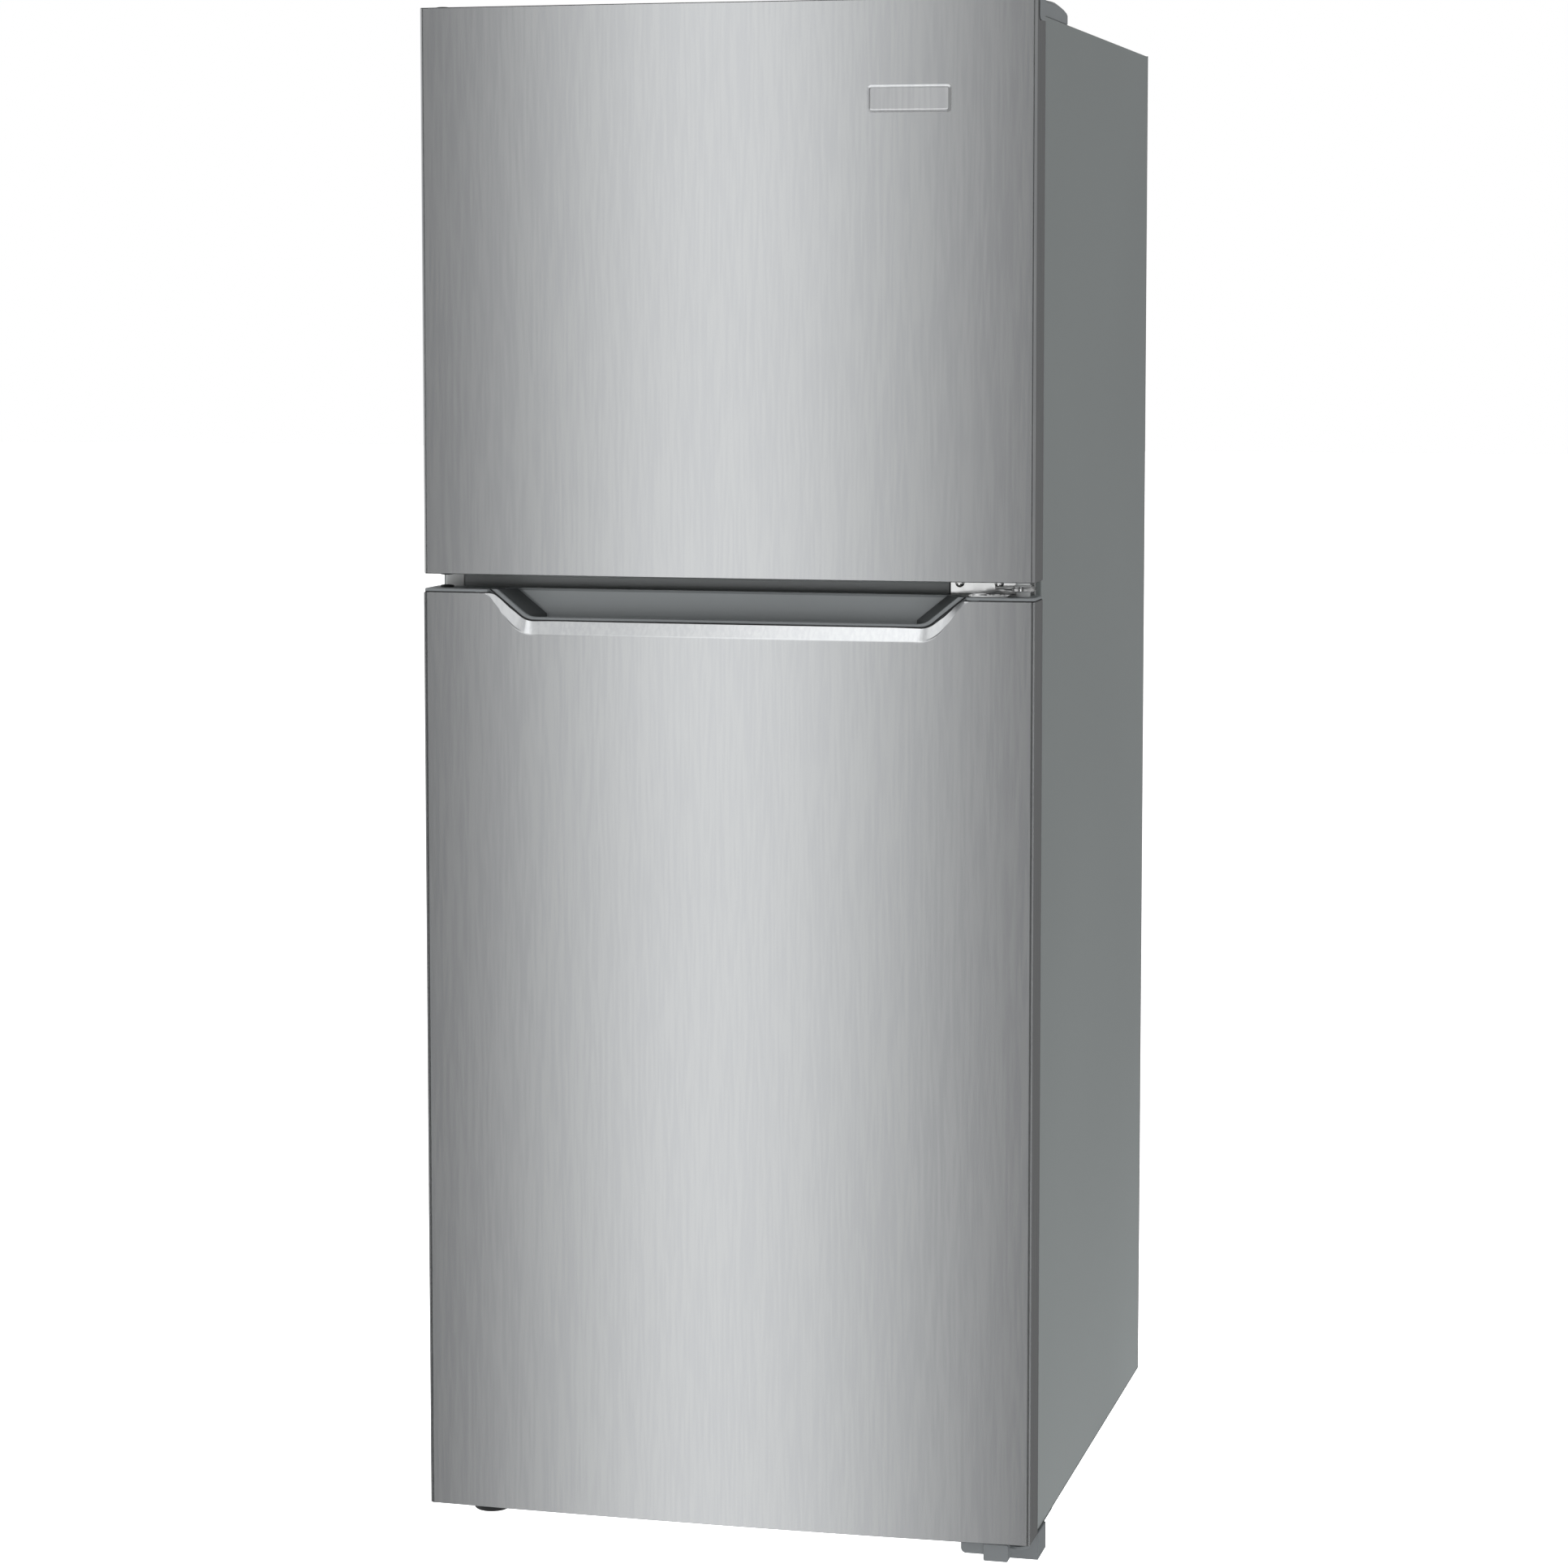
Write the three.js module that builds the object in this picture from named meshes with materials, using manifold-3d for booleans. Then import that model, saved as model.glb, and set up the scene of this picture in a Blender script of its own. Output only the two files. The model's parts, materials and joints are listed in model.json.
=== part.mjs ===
// Top freezer refrigerator for a small kitchen: an insulated cabinet with a freezer compartment over a
// fresh food compartment, two bowed doors hung on the right, and a compressor bay at the bottom rear.
// Millimetres, +Z up, doors facing -Y. The origin is on the floor under the centre of the outer box.
import * as THREE from "three";
import { mergeVertices } from "three/addons/utils/BufferGeometryUtils.js";
import Module from "manifold-3d";

const wasm = await Module();
wasm.setup();

// ---------------------------------------------------------------- driving dimensions

const CLEARANCE = 0.3; // between solids that touch
const SHEET = 1; // steel of the cabinet, pan and door skins
const PLATE = 3; // steel of hinges and brackets
const LINER = 2; // moulded plastic liners

const DOOR_WIDTH = 600;
const DOOR_THICKNESS = 42; // at the sides, without the bow
const DOOR_BOW = 6; // how far the middle of the front stands ahead of its corners
const DOOR_CORNER = 3; // rounding of the front's upright edges
const FREEZER_DOOR_HEIGHT = 542;
const FRIDGE_DOOR_HEIGHT = 905;
const DOOR_GAP = 14; // between the two doors
const DOOR_TO_FLOOR = 30;
const DOOR_RETURN = 10; // flange of the skin on the door's back

const GASKET_GAP = 10; // from a door's back to the cabinet's front
const GASKET_WIDTH = 20;
const GASKET_INSET = 14; // from the door's side to the gasket

const CABINET_INSET = 3; // from the door's side to the cabinet's side
const CABINET_DEPTH = 628;
const CABINET_TOP_DROP = 14; // from the freezer door's top to the cabinet's top
const CABINET_BOTTOM = 28; // above the floor
const CABINET_FLANGE = 36; // the steel that the side gaskets hold to

const FREEZER_WALL = 60; // insulation beside, above and behind the freezer compartment
const FRIDGE_WALL = 45; // insulation beside and behind the fresh food compartment
const FLOOR_WALL = 50; // insulation under the fresh food compartment and over the compressor bay
const DIVIDER = 78; // between the two compartments
const BAY_DEPTH = 200; // the compressor bay, from the cabinet's back
const BAY_HEIGHT = 225; // above the cabinet's bottom

const PIN_RADIUS = 4;
const PIN_INSET = 15.5; // hinge axis from the door's side
const PIN_FROM_BACK = 17; // hinge axis to the door's back
const PIN_REACH = 16; // how far a pin goes into a door
const BOSS_RADIUS = 9;

const CAP_RIM = 3; // what shows of a door's end cap past the skin
const CAP_PLUG = 8; // from the cap's outer face to its inner face

const DYKE_REACH = 30; // rib round a door liner, from the door's back into the compartment
const DYKE_WIDTH = 22;
const BIN_WALL = 2.5;

// ---------------------------------------------------------------- places that follow from them

const BORE_RADIUS = PIN_RADIUS + 0.35;
const PIN_DEPTH = DOOR_THICKNESS - PIN_FROM_BACK; // behind the door's front corners
const TOTAL_DEPTH = DOOR_BOW + DOOR_THICKNESS + GASKET_GAP + CABINET_DEPTH;
const DOOR_Y = DOOR_BOW - TOTAL_DEPTH / 2; // front corners of the doors
const CABINET_Y = DOOR_Y + DOOR_THICKNESS + GASKET_GAP;
const REAR_Y = CABINET_Y + CABINET_DEPTH;
const HALF_CABINET = DOOR_WIDTH / 2 - CABINET_INSET;
const FRIDGE_DOOR_Z = DOOR_TO_FLOOR;
const FREEZER_DOOR_Z = FRIDGE_DOOR_Z + FRIDGE_DOOR_HEIGHT + DOOR_GAP;
const DOORS_TOP = FREEZER_DOOR_Z + FREEZER_DOOR_HEIGHT;
const CABINET_TOP = DOORS_TOP - CABINET_TOP_DROP;
const GAP_MIDDLE = FREEZER_DOOR_Z - DOOR_GAP / 2;
const PIN_X = DOOR_WIDTH / 2 - PIN_INSET;
const PIN_Y = DOOR_Y + PIN_DEPTH;
const BAY_Y = REAR_Y - BAY_DEPTH;
const BAY_TOP = CABINET_BOTTOM + BAY_HEIGHT;

// Inner faces of the two compartments, as [low, high] pairs.
const FREEZER = {
  x: spread(HALF_CABINET - FREEZER_WALL),
  y: [CABINET_Y, REAR_Y - FREEZER_WALL],
  z: [GAP_MIDDLE + DIVIDER / 2, CABINET_TOP - FREEZER_WALL],
};
const FRIDGE = {
  x: spread(HALF_CABINET - FRIDGE_WALL),
  y: [CABINET_Y, REAR_Y - FRIDGE_WALL],
  z: [CABINET_BOTTOM + FLOOR_WALL, GAP_MIDDLE - DIVIDER / 2],
};
const STEP_Y = BAY_Y - FLOOR_WALL; // front of the step over the compressor bay
const STEP_Z = BAY_TOP + FLOOR_WALL; // top of that step

const FLANGE_X = HALF_CABINET - CABINET_FLANGE;
const LIP_X = FLANGE_X - CLEARANCE; // liner lips, rail and pan flange reach this far
const PAN_FLANGE_TOP = CABINET_BOTTOM + CABINET_FLANGE;
const RAIL_Z = [FRIDGE.z[1] + 9, FREEZER.z[0] - 9];

// What stands at which height inside.
const SHELF_THICKNESS = 9;
const SHELF_FRONT = CABINET_Y + 113;
const SHELF_BACK = FRIDGE.y[1] - 63;
const SHELF_HEIGHTS = { lower: STEP_Z + 200, upper: STEP_Z + 390 };
const FREEZER_SHELF_Z = (FREEZER.z[0] + FREEZER.z[1]) / 2 - 5;
const EVAPORATOR_SPACE = 80; // behind the cover in the freezer compartment
const COVER_Y = FREEZER.y[1] - EVAPORATOR_SPACE;

// ---------------------------------------------------------------- making solids

function spread(half) {
  return [-half, half];
}

function around(centre, size) {
  return [centre - size / 2, centre + size / 2];
}

function grown([low, high], by) {
  return [low - by, high + by];
}

function toSolid(geometry) {
  const bare = new THREE.BufferGeometry();
  const loose = geometry.index ? geometry.toNonIndexed() : geometry;
  bare.setAttribute("position", loose.getAttribute("position"));
  const merged = mergeVertices(bare, 1e-3);
  const mesh = new wasm.Mesh({
    numProp: 3,
    vertProperties: merged.getAttribute("position").array,
    triVerts: new Uint32Array(merged.index.array),
  });
  return new wasm.Manifold(mesh);
}

function toGeometry(solid) {
  const { vertProperties, triVerts } = solid.getMesh();
  const geometry = new THREE.BufferGeometry();
  geometry.setAttribute("position", new THREE.BufferAttribute(vertProperties, 3));
  geometry.setIndex(new THREE.BufferAttribute(triVerts, 1));
  geometry.computeVertexNormals();
  return geometry;
}

function join(first, ...rest) {
  return rest.reduce((sum, solid) => sum.add(solid), first);
}

function cut(first, ...tools) {
  return tools.reduce((left, tool) => left.subtract(tool), first);
}

// A box from [low, high] pairs.
function block(x, y, z) {
  const geometry = new THREE.BoxGeometry(x[1] - x[0], y[1] - y[0], z[1] - z[0]);
  geometry.translate((x[0] + x[1]) / 2, (y[0] + y[1]) / 2, (z[0] + z[1]) / 2);
  return toSolid(geometry);
}

function extruded(shape, length, curveSegments) {
  return new THREE.ExtrudeGeometry(shape, { depth: length, bevelEnabled: false, curveSegments });
}

// An outline in X and Y, standing from z[0] to z[1].
function upright(shape, z, curveSegments = 4) {
  return toSolid(extruded(shape, z[1] - z[0], curveSegments).translate(0, 0, z[0]));
}

// An outline in X and Z, running back from y[0] to y[1].
function through(shape, y, curveSegments = 4) {
  const geometry = extruded(shape, y[1] - y[0], curveSegments).rotateX(Math.PI / 2);
  return toSolid(geometry.translate(0, y[1], 0));
}

// An outline in Y and Z, running across from x[0] to x[1].
function across(shape, x, curveSegments = 4) {
  const turn = new THREE.Matrix4().set(0, 0, 1, x[0], 1, 0, 0, 0, 0, 1, 0, 0, 0, 0, 0, 1);
  return toSolid(extruded(shape, x[1] - x[0], curveSegments).applyMatrix4(turn));
}

// A round bar along one axis: centre gives the other two places, span the [low, high] along it.
function rod(axis, centre, radius, span, steps = 20) {
  const geometry = new THREE.CylinderGeometry(radius, radius, span[1] - span[0], steps);
  const middle = (span[0] + span[1]) / 2;
  if (axis === "x") geometry.rotateZ(Math.PI / 2).translate(middle, centre[0], centre[1]);
  if (axis === "y") geometry.translate(centre[0], middle, centre[1]);
  if (axis === "z") geometry.rotateX(Math.PI / 2).translate(centre[0], centre[1], middle);
  return toSolid(geometry);
}

function outline(points) {
  return new THREE.Shape(points.map(([a, b]) => new THREE.Vector2(a, b)));
}

function roundedRectangle(a, b, radius) {
  const shape = new THREE.Shape();
  shape.absarc(a[1] - radius, b[0] + radius, radius, -Math.PI / 2, 0, false);
  shape.absarc(a[1] - radius, b[1] - radius, radius, 0, Math.PI / 2, false);
  shape.absarc(a[0] + radius, b[1] - radius, radius, Math.PI / 2, Math.PI, false);
  shape.absarc(a[0] + radius, b[0] + radius, radius, Math.PI, 1.5 * Math.PI, false);
  return shape;
}

// A frame of four bars in X and Z, from outer to inner, between two depths.
function ring(outerX, outerZ, width, y) {
  const hole = block(grown(outerX, -width), grown(y, 1), grown(outerZ, -width));
  return cut(block(outerX, y, outerZ), hole);
}

// A tray open at the top.
function tray(x, y, z, wall) {
  const inside = block(grown(x, -wall), grown(y, -wall), [z[0] + wall, z[1] + 1]);
  return cut(block(x, y, z), inside);
}

// A row of equal solids, one for each place, made by a function of that place.
function row(count, first, pitch, make) {
  return Array.from({ length: count }, (_, i) => make(first + i * pitch));
}

// A tube along a smooth line through points.
function tube(points, radius, steps, sides = 8) {
  const path = new THREE.CatmullRomCurve3(points.map((p) => new THREE.Vector3(...p)));
  const section = new THREE.Shape();
  section.absarc(0, 0, radius, 0, 2 * Math.PI, false);
  const options = { steps, extrudePath: path, curveSegments: sides };
  return toSolid(new THREE.ExtrudeGeometry(section, options));
}

// ---------------------------------------------------------------- materials

function finish(color, roughness, metalness, extra = {}) {
  return new THREE.MeshStandardMaterial({ color, roughness, metalness, ...extra });
}

const brushedSteel = finish(0xb4b8ba, 0.34, 1);
const cabinetPaint = finish(0x868a8b, 0.45, 0.4);
const hingePaint = finish(0x808485, 0.5, 0.6);
const capPlastic = finish(0x5f6364, 0.5, 0);
const coverPlastic = finish(0x7b7f80, 0.45, 0);
const zincPlate = finish(0xc9cbcc, 0.35, 1);
const whitePlastic = finish(0xf1f2f0, 0.35, 0);
const gasketRubber = finish(0xd9dad8, 0.7, 0);
const foamFill = finish(0xe8dcae, 0.9, 0);
const shelfGlass = finish(0xcfe4dd, 0.05, 0, { transparent: true, opacity: 0.35 });
const clearPlastic = finish(0xe4edf0, 0.12, 0, { transparent: true, opacity: 0.5 });
const lampPlastic = finish(0xfdfbf2, 0.3, 0);
const blackPaint = finish(0x1a1b1c, 0.45, 0.3);
const copper = finish(0xb56a3c, 0.35, 1);
const aluminium = finish(0xc4c7c9, 0.4, 1);
const blackPlastic = finish(0x202122, 0.6, 0);

function node(name, solid, material, place = [0, 0, 0]) {
  const mesh = new THREE.Mesh(toGeometry(solid), material);
  mesh.name = name;
  mesh.position.set(...place);
  return mesh;
}

function assembly(place, ...children) {
  const group = new THREE.Group();
  group.position.set(...place);
  group.add(...children);
  return group;
}

// ---------------------------------------------------------------- doors
// A door's own frame: x from its middle, y back from its front corners, z up from its bottom.

const BOW_RADIUS = ((DOOR_WIDTH / 2) ** 2 + DOOR_BOW ** 2) / (2 * DOOR_BOW);
const BOW_STEPS = 16;

function bowY(x, inset = 0) {
  return BOW_RADIUS - DOOR_BOW - Math.sqrt((BOW_RADIUS - inset) ** 2 - x ** 2);
}

// Plan of a door, set in all round from its outer faces: straight sides and a bowed front.
function doorPlan(inset, back = DOOR_THICKNESS - inset) {
  const half = DOOR_WIDTH / 2 - inset;
  const flat = half - DOOR_CORNER;
  const shape = new THREE.Shape();
  shape.moveTo(half, back);
  shape.lineTo(-half, back);
  shape.lineTo(-half, bowY(half, inset) + DOOR_CORNER);
  shape.quadraticCurveTo(-half, bowY(half, inset), -flat, bowY(flat, inset));
  for (let i = 1; i <= BOW_STEPS; i += 1) {
    const x = -flat + (2 * flat * i) / BOW_STEPS;
    shape.lineTo(x, bowY(x, inset));
  }
  shape.quadraticCurveTo(half, bowY(half, inset), half, bowY(half, inset) + DOOR_CORNER);
  return shape;
}

function skinSpan(height) {
  return [CAP_RIM + CLEARANCE, height - CAP_RIM - CLEARANCE];
}

// Steel skin: the bowed front, both sides and a narrow return on the back.
function doorSkin(height) {
  const span = skinSpan(height);
  const inner = upright(doorPlan(SHEET), grown(span, 1));
  const openBack = spread(DOOR_WIDTH / 2 - DOOR_RETURN);
  const back = block(openBack, grown([DOOR_THICKNESS - 2 * SHEET, DOOR_THICKNESS], 1), grown(span, 1));
  return cut(upright(doorPlan(0), span), inner, back);
}

// Hinge bosses stand on both sides of a cap, because the door can be hung on either side.
function capBosses(radius, span) {
  return [-PIN_X, PIN_X].map((x) => rod("z", [x, PIN_DEPTH], radius, span));
}

// End cap: a rim as wide as the door, a plug inside the skin, and a bored boss for each hinge side.
// `end` is 1 for a top cap and -1 for a bottom cap, `z` the door's end.
function doorCap(z, end, ...extras) {
  const from = (low, high) => (end > 0 ? [z - high, z - low] : [z + low, z + high]);
  const insideSkin = SHEET + CLEARANCE;
  const rim = upright(doorPlan(CLEARANCE), from(0, CAP_RIM));
  const plug = upright(doorPlan(insideSkin), from(CAP_RIM - 1, CAP_PLUG));
  const bosses = capBosses(BOSS_RADIUS, from(CAP_PLUG - 1, PIN_REACH + PLATE));
  const bores = capBosses(BORE_RADIUS, from(-1, PIN_REACH + 1));
  return cut(join(rim, plug, ...bosses, ...extras), ...bores);
}

function linerSpan(height) {
  return grown([0, height], -CAP_PLUG - CLEARANCE);
}

// Moulded door liner: a back plate and a hollow rib that enters the compartment.
function doorLiner(height, dyke) {
  const plateX = spread(DOOR_WIDTH / 2 - DOOR_RETURN - CLEARANCE);
  const plate = block(plateX, [DOOR_THICKNESS - LINER, DOOR_THICKNESS], linerSpan(height));
  const reach = DOOR_THICKNESS + DYKE_REACH;
  const rib = ring(dyke.x, dyke.z, DYKE_WIDTH, [DOOR_THICKNESS - LINER, reach]);
  const hollowY = [DOOR_THICKNESS - LINER - 1, reach - LINER];
  const hollow = ring(grown(dyke.x, -LINER), grown(dyke.z, -LINER), DYKE_WIDTH - 2 * LINER, hollowY);
  return cut(join(plate, rib), hollow);
}

// Foam that fills the skin and the liner's rib, with room for the caps' bosses.
function doorFoam(height, dyke) {
  const back = DOOR_THICKNESS - LINER - CLEARANCE;
  const core = upright(doorPlan(SHEET + CLEARANCE, back), linerSpan(height));
  const inset = LINER + CLEARANCE;
  const ribY = [back - 1, DOOR_THICKNESS + DYKE_REACH - LINER - CLEARANCE];
  const rib = ring(grown(dyke.x, -inset), grown(dyke.z, -inset), DYKE_WIDTH - 2 * inset, ribY);
  const reach = PIN_REACH + PLATE + CLEARANCE;
  const sockets = [
    ...capBosses(BOSS_RADIUS + CLEARANCE, [-1, reach]),
    ...capBosses(BOSS_RADIUS + CLEARANCE, [height - reach, height + 1]),
  ];
  return cut(join(core, rib), ...sockets);
}

function doorGasket(z) {
  const x = spread(DOOR_WIDTH / 2 - GASKET_INSET);
  return ring(x, z, GASKET_WIDTH, grown([DOOR_THICKNESS, DOOR_THICKNESS + GASKET_GAP], -CLEARANCE));
}

// Rack between the liner's ribs. Its guard is lower than its ends.
function doorBin(dyke, depth, z, endRise) {
  const x = grown(dyke.x, -DYKE_WIDTH - 1.5);
  const y = [DOOR_THICKNESS + CLEARANCE, DOOR_THICKNESS + depth];
  const whole = tray(x, y, [z[0], z[1] + endRise], BIN_WALL);
  const overGuard = block(grown(x, -30), [y[0] + 14, y[1] + 1], [z[1], z[1] + endRise + 1]);
  return cut(whole, overGuard);
}

const DYKE_MARGIN = 8; // between a liner's rib and its compartment
const freezerDyke = {
  x: grown(FREEZER.x, -DYKE_MARGIN),
  z: grown(FREEZER.z, -DYKE_MARGIN).map((z) => z - FREEZER_DOOR_Z),
};
const fridgeDyke = {
  x: grown(FRIDGE.x, -DYKE_MARGIN),
  z: grown(FRIDGE.z, -DYKE_MARGIN).map((z) => z - FRIDGE_DOOR_Z),
};
const GASKET_FROM_END = 10; // at the doors' ends that face each other and the floor
const GASKET_FROM_TOP = 6; // under the cabinet's top

// ---- freezer door

const SHOULDER_DEPTH = 15; // plastic rear corner at each side of the freezer door's top
const SHOULDER_HEIGHT = 20;
const SHOULDER_WIDTH = DOOR_RETURN + 4;
const BADGE = { x: DOOR_WIDTH / 2 - 120, z: FREEZER_DOOR_HEIGHT - 92, width: 79, height: 25.5, thickness: 2, corner: 3.5 };
const GRIP = { x: spread(DOOR_WIDTH / 2 - 85), depth: 20, height: 15, front: 6 }; // finger groove under the door

function shoulders(by) {
  const y = [DOOR_THICKNESS - SHOULDER_DEPTH - by, DOOR_THICKNESS + (by ? 1 : -CLEARANCE)];
  const z = [FREEZER_DOOR_HEIGHT - SHOULDER_HEIGHT - by, FREEZER_DOOR_HEIGHT - (by ? -1 : 0.5)];
  const outer = DOOR_WIDTH / 2 + (by ? 1 : -CLEARANCE);
  return [
    block([DOOR_WIDTH / 2 - SHOULDER_WIDTH - by, outer], y, z),
    block([-outer, SHOULDER_WIDTH + by - DOOR_WIDTH / 2], y, z),
  ];
}

function gripSolid(by) {
  const x = grown(GRIP.x, by);
  const front = GRIP.front - by;
  return block(x, [front, front + GRIP.depth + 2 * by], [-1, GRIP.height + by]);
}

function freezerDoor() {
  const height = FREEZER_DOOR_HEIGHT;
  const gasketZ = [GASKET_FROM_END, CABINET_TOP - GASKET_FROM_TOP - FREEZER_DOOR_Z];
  const topCap = doorCap(height, 1, ...shoulders(0));
  const gripWall = cut(gripSolid(2), block(spread(DOOR_WIDTH), spread(DOOR_WIDTH), [-10, 0]));
  const bottomCap = cut(join(doorCap(0, -1), gripWall), gripSolid(0));
  const badgePlate = through(
    roundedRectangle(spread(BADGE.width / 2), spread(BADGE.height / 2), BADGE.corner),
    [-BADGE.thickness, 0],
  );
  const badge = node("badge_plate", badgePlate, brushedSteel, [
    BADGE.x,
    bowY(BADGE.x) - CLEARANCE,
    BADGE.z,
  ]);
  badge.rotation.z = Math.asin(BADGE.x / BOW_RADIUS);
  return assembly(
    [0, DOOR_Y, FREEZER_DOOR_Z],
    node("freezer_door_skin", cut(doorSkin(height), ...shoulders(CLEARANCE)), brushedSteel),
    node(
      "freezer_door_foam",
      cut(doorFoam(height, freezerDyke), gripSolid(2 + CLEARANCE), ...shoulders(CLEARANCE)),
      foamFill,
    ),
    node("freezer_door_liner", cut(doorLiner(height, freezerDyke), ...shoulders(CLEARANCE)), whitePlastic),
    node("freezer_door_top_cap", topCap, coverPlastic),
    node("freezer_door_bottom_cap", bottomCap, capPlastic),
    node("freezer_door_gasket", doorGasket(gasketZ), gasketRubber),
    node("freezer_bin_upper", doorBin(freezerDyke, 85, [250, 300], 25), whitePlastic),
    node("freezer_bin_lower", doorBin(freezerDyke, 85, [70, 130], 25), whitePlastic),
    badge,
  );
}

// ---- fresh food door

const POCKET = {
  halfTop: DOOR_WIDTH / 2 - 68,
  halfBottom: DOOR_WIDTH / 2 - 102,
  drop: 30, // from the door's top to the lip
  lip: 4, // depth of the lip at the front
  back: 26, // depth of the back wall
  draft: 13, // how much each end closes in towards the back
  floor: 20, // the floor below the lip
  wall: 2.5,
};

function pocketOutline(by, draft = 0) {
  const top = FRIDGE_DOOR_HEIGHT + 5;
  const slope = (POCKET.halfTop - POCKET.halfBottom) / POCKET.drop;
  const bottom = FRIDGE_DOOR_HEIGHT - POCKET.drop - by;
  const halfBottom = POCKET.halfBottom + by - draft;
  const halfTop = halfBottom + slope * (top - bottom);
  return outline([
    [halfBottom, bottom],
    [halfTop, top],
    [-halfTop, top],
    [-halfBottom, bottom],
  ]);
}

// Room for the fingers: the notch in the front, and the trough behind its lip.
function pocketRoom() {
  const notch = through(pocketOutline(0), [-DOOR_BOW - 1, POCKET.lip]);
  const behind = through(pocketOutline(0, POCKET.draft), [POCKET.lip - 1, POCKET.back]);
  const bottom = FRIDGE_DOOR_HEIGHT - POCKET.drop;
  const troughX = spread(POCKET.halfBottom - POCKET.draft);
  const trough = block(troughX, [POCKET.lip, POCKET.back], [bottom - POCKET.floor, bottom + 1]);
  return join(notch, behind, trough);
}

// The pocket's shell before its room is taken out. With `by` it is the space that the foam leaves.
function pocketShell(by) {
  const bottom = FRIDGE_DOOR_HEIGHT - POCKET.drop - POCKET.floor - POCKET.wall - by;
  const half = POCKET.halfTop + 12 + by;
  const y = [-DOOR_BOW, POCKET.back + POCKET.wall + by];
  return block(spread(half), y, [bottom, FRIDGE_DOOR_HEIGHT - CAP_PLUG + 1]);
}

// A plate under the door, ahead of the hinge arm, that limits how far the door opens.
function doorStop() {
  const x = [PIN_X - 52, PIN_X - 6];
  const step = PIN_X - 30;
  const front = [3, PIN_DEPTH - 14];
  return join(
    block(x, front, [-11.5, -CLEARANCE]),
    block([step, x[1]], front, [-17.5, -5]),
    block([x[0], PIN_X - 16], [front[0], PIN_DEPTH + 8], [-2.5, -CLEARANCE]),
  );
}

function fridgeDoor() {
  const height = FRIDGE_DOOR_HEIGHT;
  const gasketZ = [GASKET_FROM_END, height - GASKET_FROM_END];
  const insideSkin = upright(doorPlan(SHEET + CLEARANCE), [0, height]);
  const shell = pocketShell(0).intersect(insideSkin);
  const topCap = cut(join(doorCap(height, 1), shell), pocketRoom());
  const notch = through(pocketOutline(CLEARANCE), [-DOOR_BOW - 1, POCKET.lip]);
  return assembly(
    [0, DOOR_Y, FRIDGE_DOOR_Z],
    node("fridge_door_skin", cut(doorSkin(height), notch), brushedSteel),
    node("fridge_door_foam", cut(doorFoam(height, fridgeDyke), pocketShell(CLEARANCE)), foamFill),
    node("fridge_door_liner", doorLiner(height, fridgeDyke), whitePlastic),
    node("fridge_door_top_cap", topCap, capPlastic),
    node("fridge_door_bottom_cap", doorCap(0, -1), capPlastic),
    node("fridge_door_gasket", doorGasket(gasketZ), gasketRubber),
    node("fridge_bin_upper", doorBin(fridgeDyke, 90, [660, 715], 30), clearPlastic),
    node("fridge_bin_middle", doorBin(fridgeDyke, 95, [410, 470], 30), clearPlastic),
    node("fridge_bin_lower", doorBin(fridgeDyke, 100, [90, 165], 30), clearPlastic),
    node("door_stop", doorStop(), hingePaint),
  );
}

// ---------------------------------------------------------------- cabinet

function cabinetWrap() {
  const sides = block(spread(HALF_CABINET), [CABINET_Y, REAR_Y], [CABINET_BOTTOM, CABINET_TOP]);
  const inside = block(
    spread(HALF_CABINET - SHEET),
    [CABINET_Y + SHEET, REAR_Y + 1],
    [CABINET_BOTTOM - 1, CABINET_TOP - SHEET],
  );
  const front = block(
    spread(FLANGE_X),
    grown([CABINET_Y, CABINET_Y + SHEET], 1),
    [CABINET_BOTTOM - 1, CABINET_TOP - CABINET_FLANGE],
  );
  return cut(sides, inside, front);
}

const INSIDE_X = spread(HALF_CABINET - SHEET - CLEARANCE);

function backPanel() {
  const z = [BAY_TOP + SHEET + CLEARANCE, CABINET_TOP - SHEET - CLEARANCE];
  const panel = block(INSIDE_X, [REAR_Y - SHEET, REAR_Y], z);
  return panel;
}

const LEG_X = HALF_CABINET - 30;
const LEG_Y = CABINET_Y + 42;
const STEM_RADIUS = 4.8;
const STEM_TOP = CABINET_BOTTOM + 16;

function legHoles(radius, z) {
  return [-LEG_X, LEG_X].map((x) => rod("z", [x, LEG_Y], radius, z));
}

// Steel pan: the front flange, the floor, and the roof of the compressor bay.
function basePan() {
  const low = CABINET_BOTTOM;
  const profile = outline([
    [CABINET_Y + SHEET + CLEARANCE, low],
    [BAY_Y, low],
    [BAY_Y, BAY_TOP],
    [REAR_Y, BAY_TOP],
    [REAR_Y, BAY_TOP + SHEET],
    [BAY_Y - SHEET, BAY_TOP + SHEET],
    [BAY_Y - SHEET, low + SHEET],
    [CABINET_Y + SHEET + CLEARANCE, low + SHEET],
  ]);
  const flange = block(spread(LIP_X), [CABINET_Y, CABINET_Y + SHEET], [low, PAN_FLANGE_TOP]);
  const bend = block(spread(LIP_X), [CABINET_Y, CABINET_Y + 3 * SHEET], [low, low + SHEET]);
  const holes = legHoles(STEM_RADIUS + 0.6, [low - 1, low + SHEET + 1]);
  return cut(join(across(profile, INSIDE_X), flange, bend), ...holes);
}

// Steel rail between the compartments, with a raised band that shows between the doors.
const BAND_Z = around(GAP_MIDDLE, 30);
const BAND_REACH = 4;
const BAND_X = [-(HALF_CABINET - 23), PIN_X - 75.5];

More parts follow.
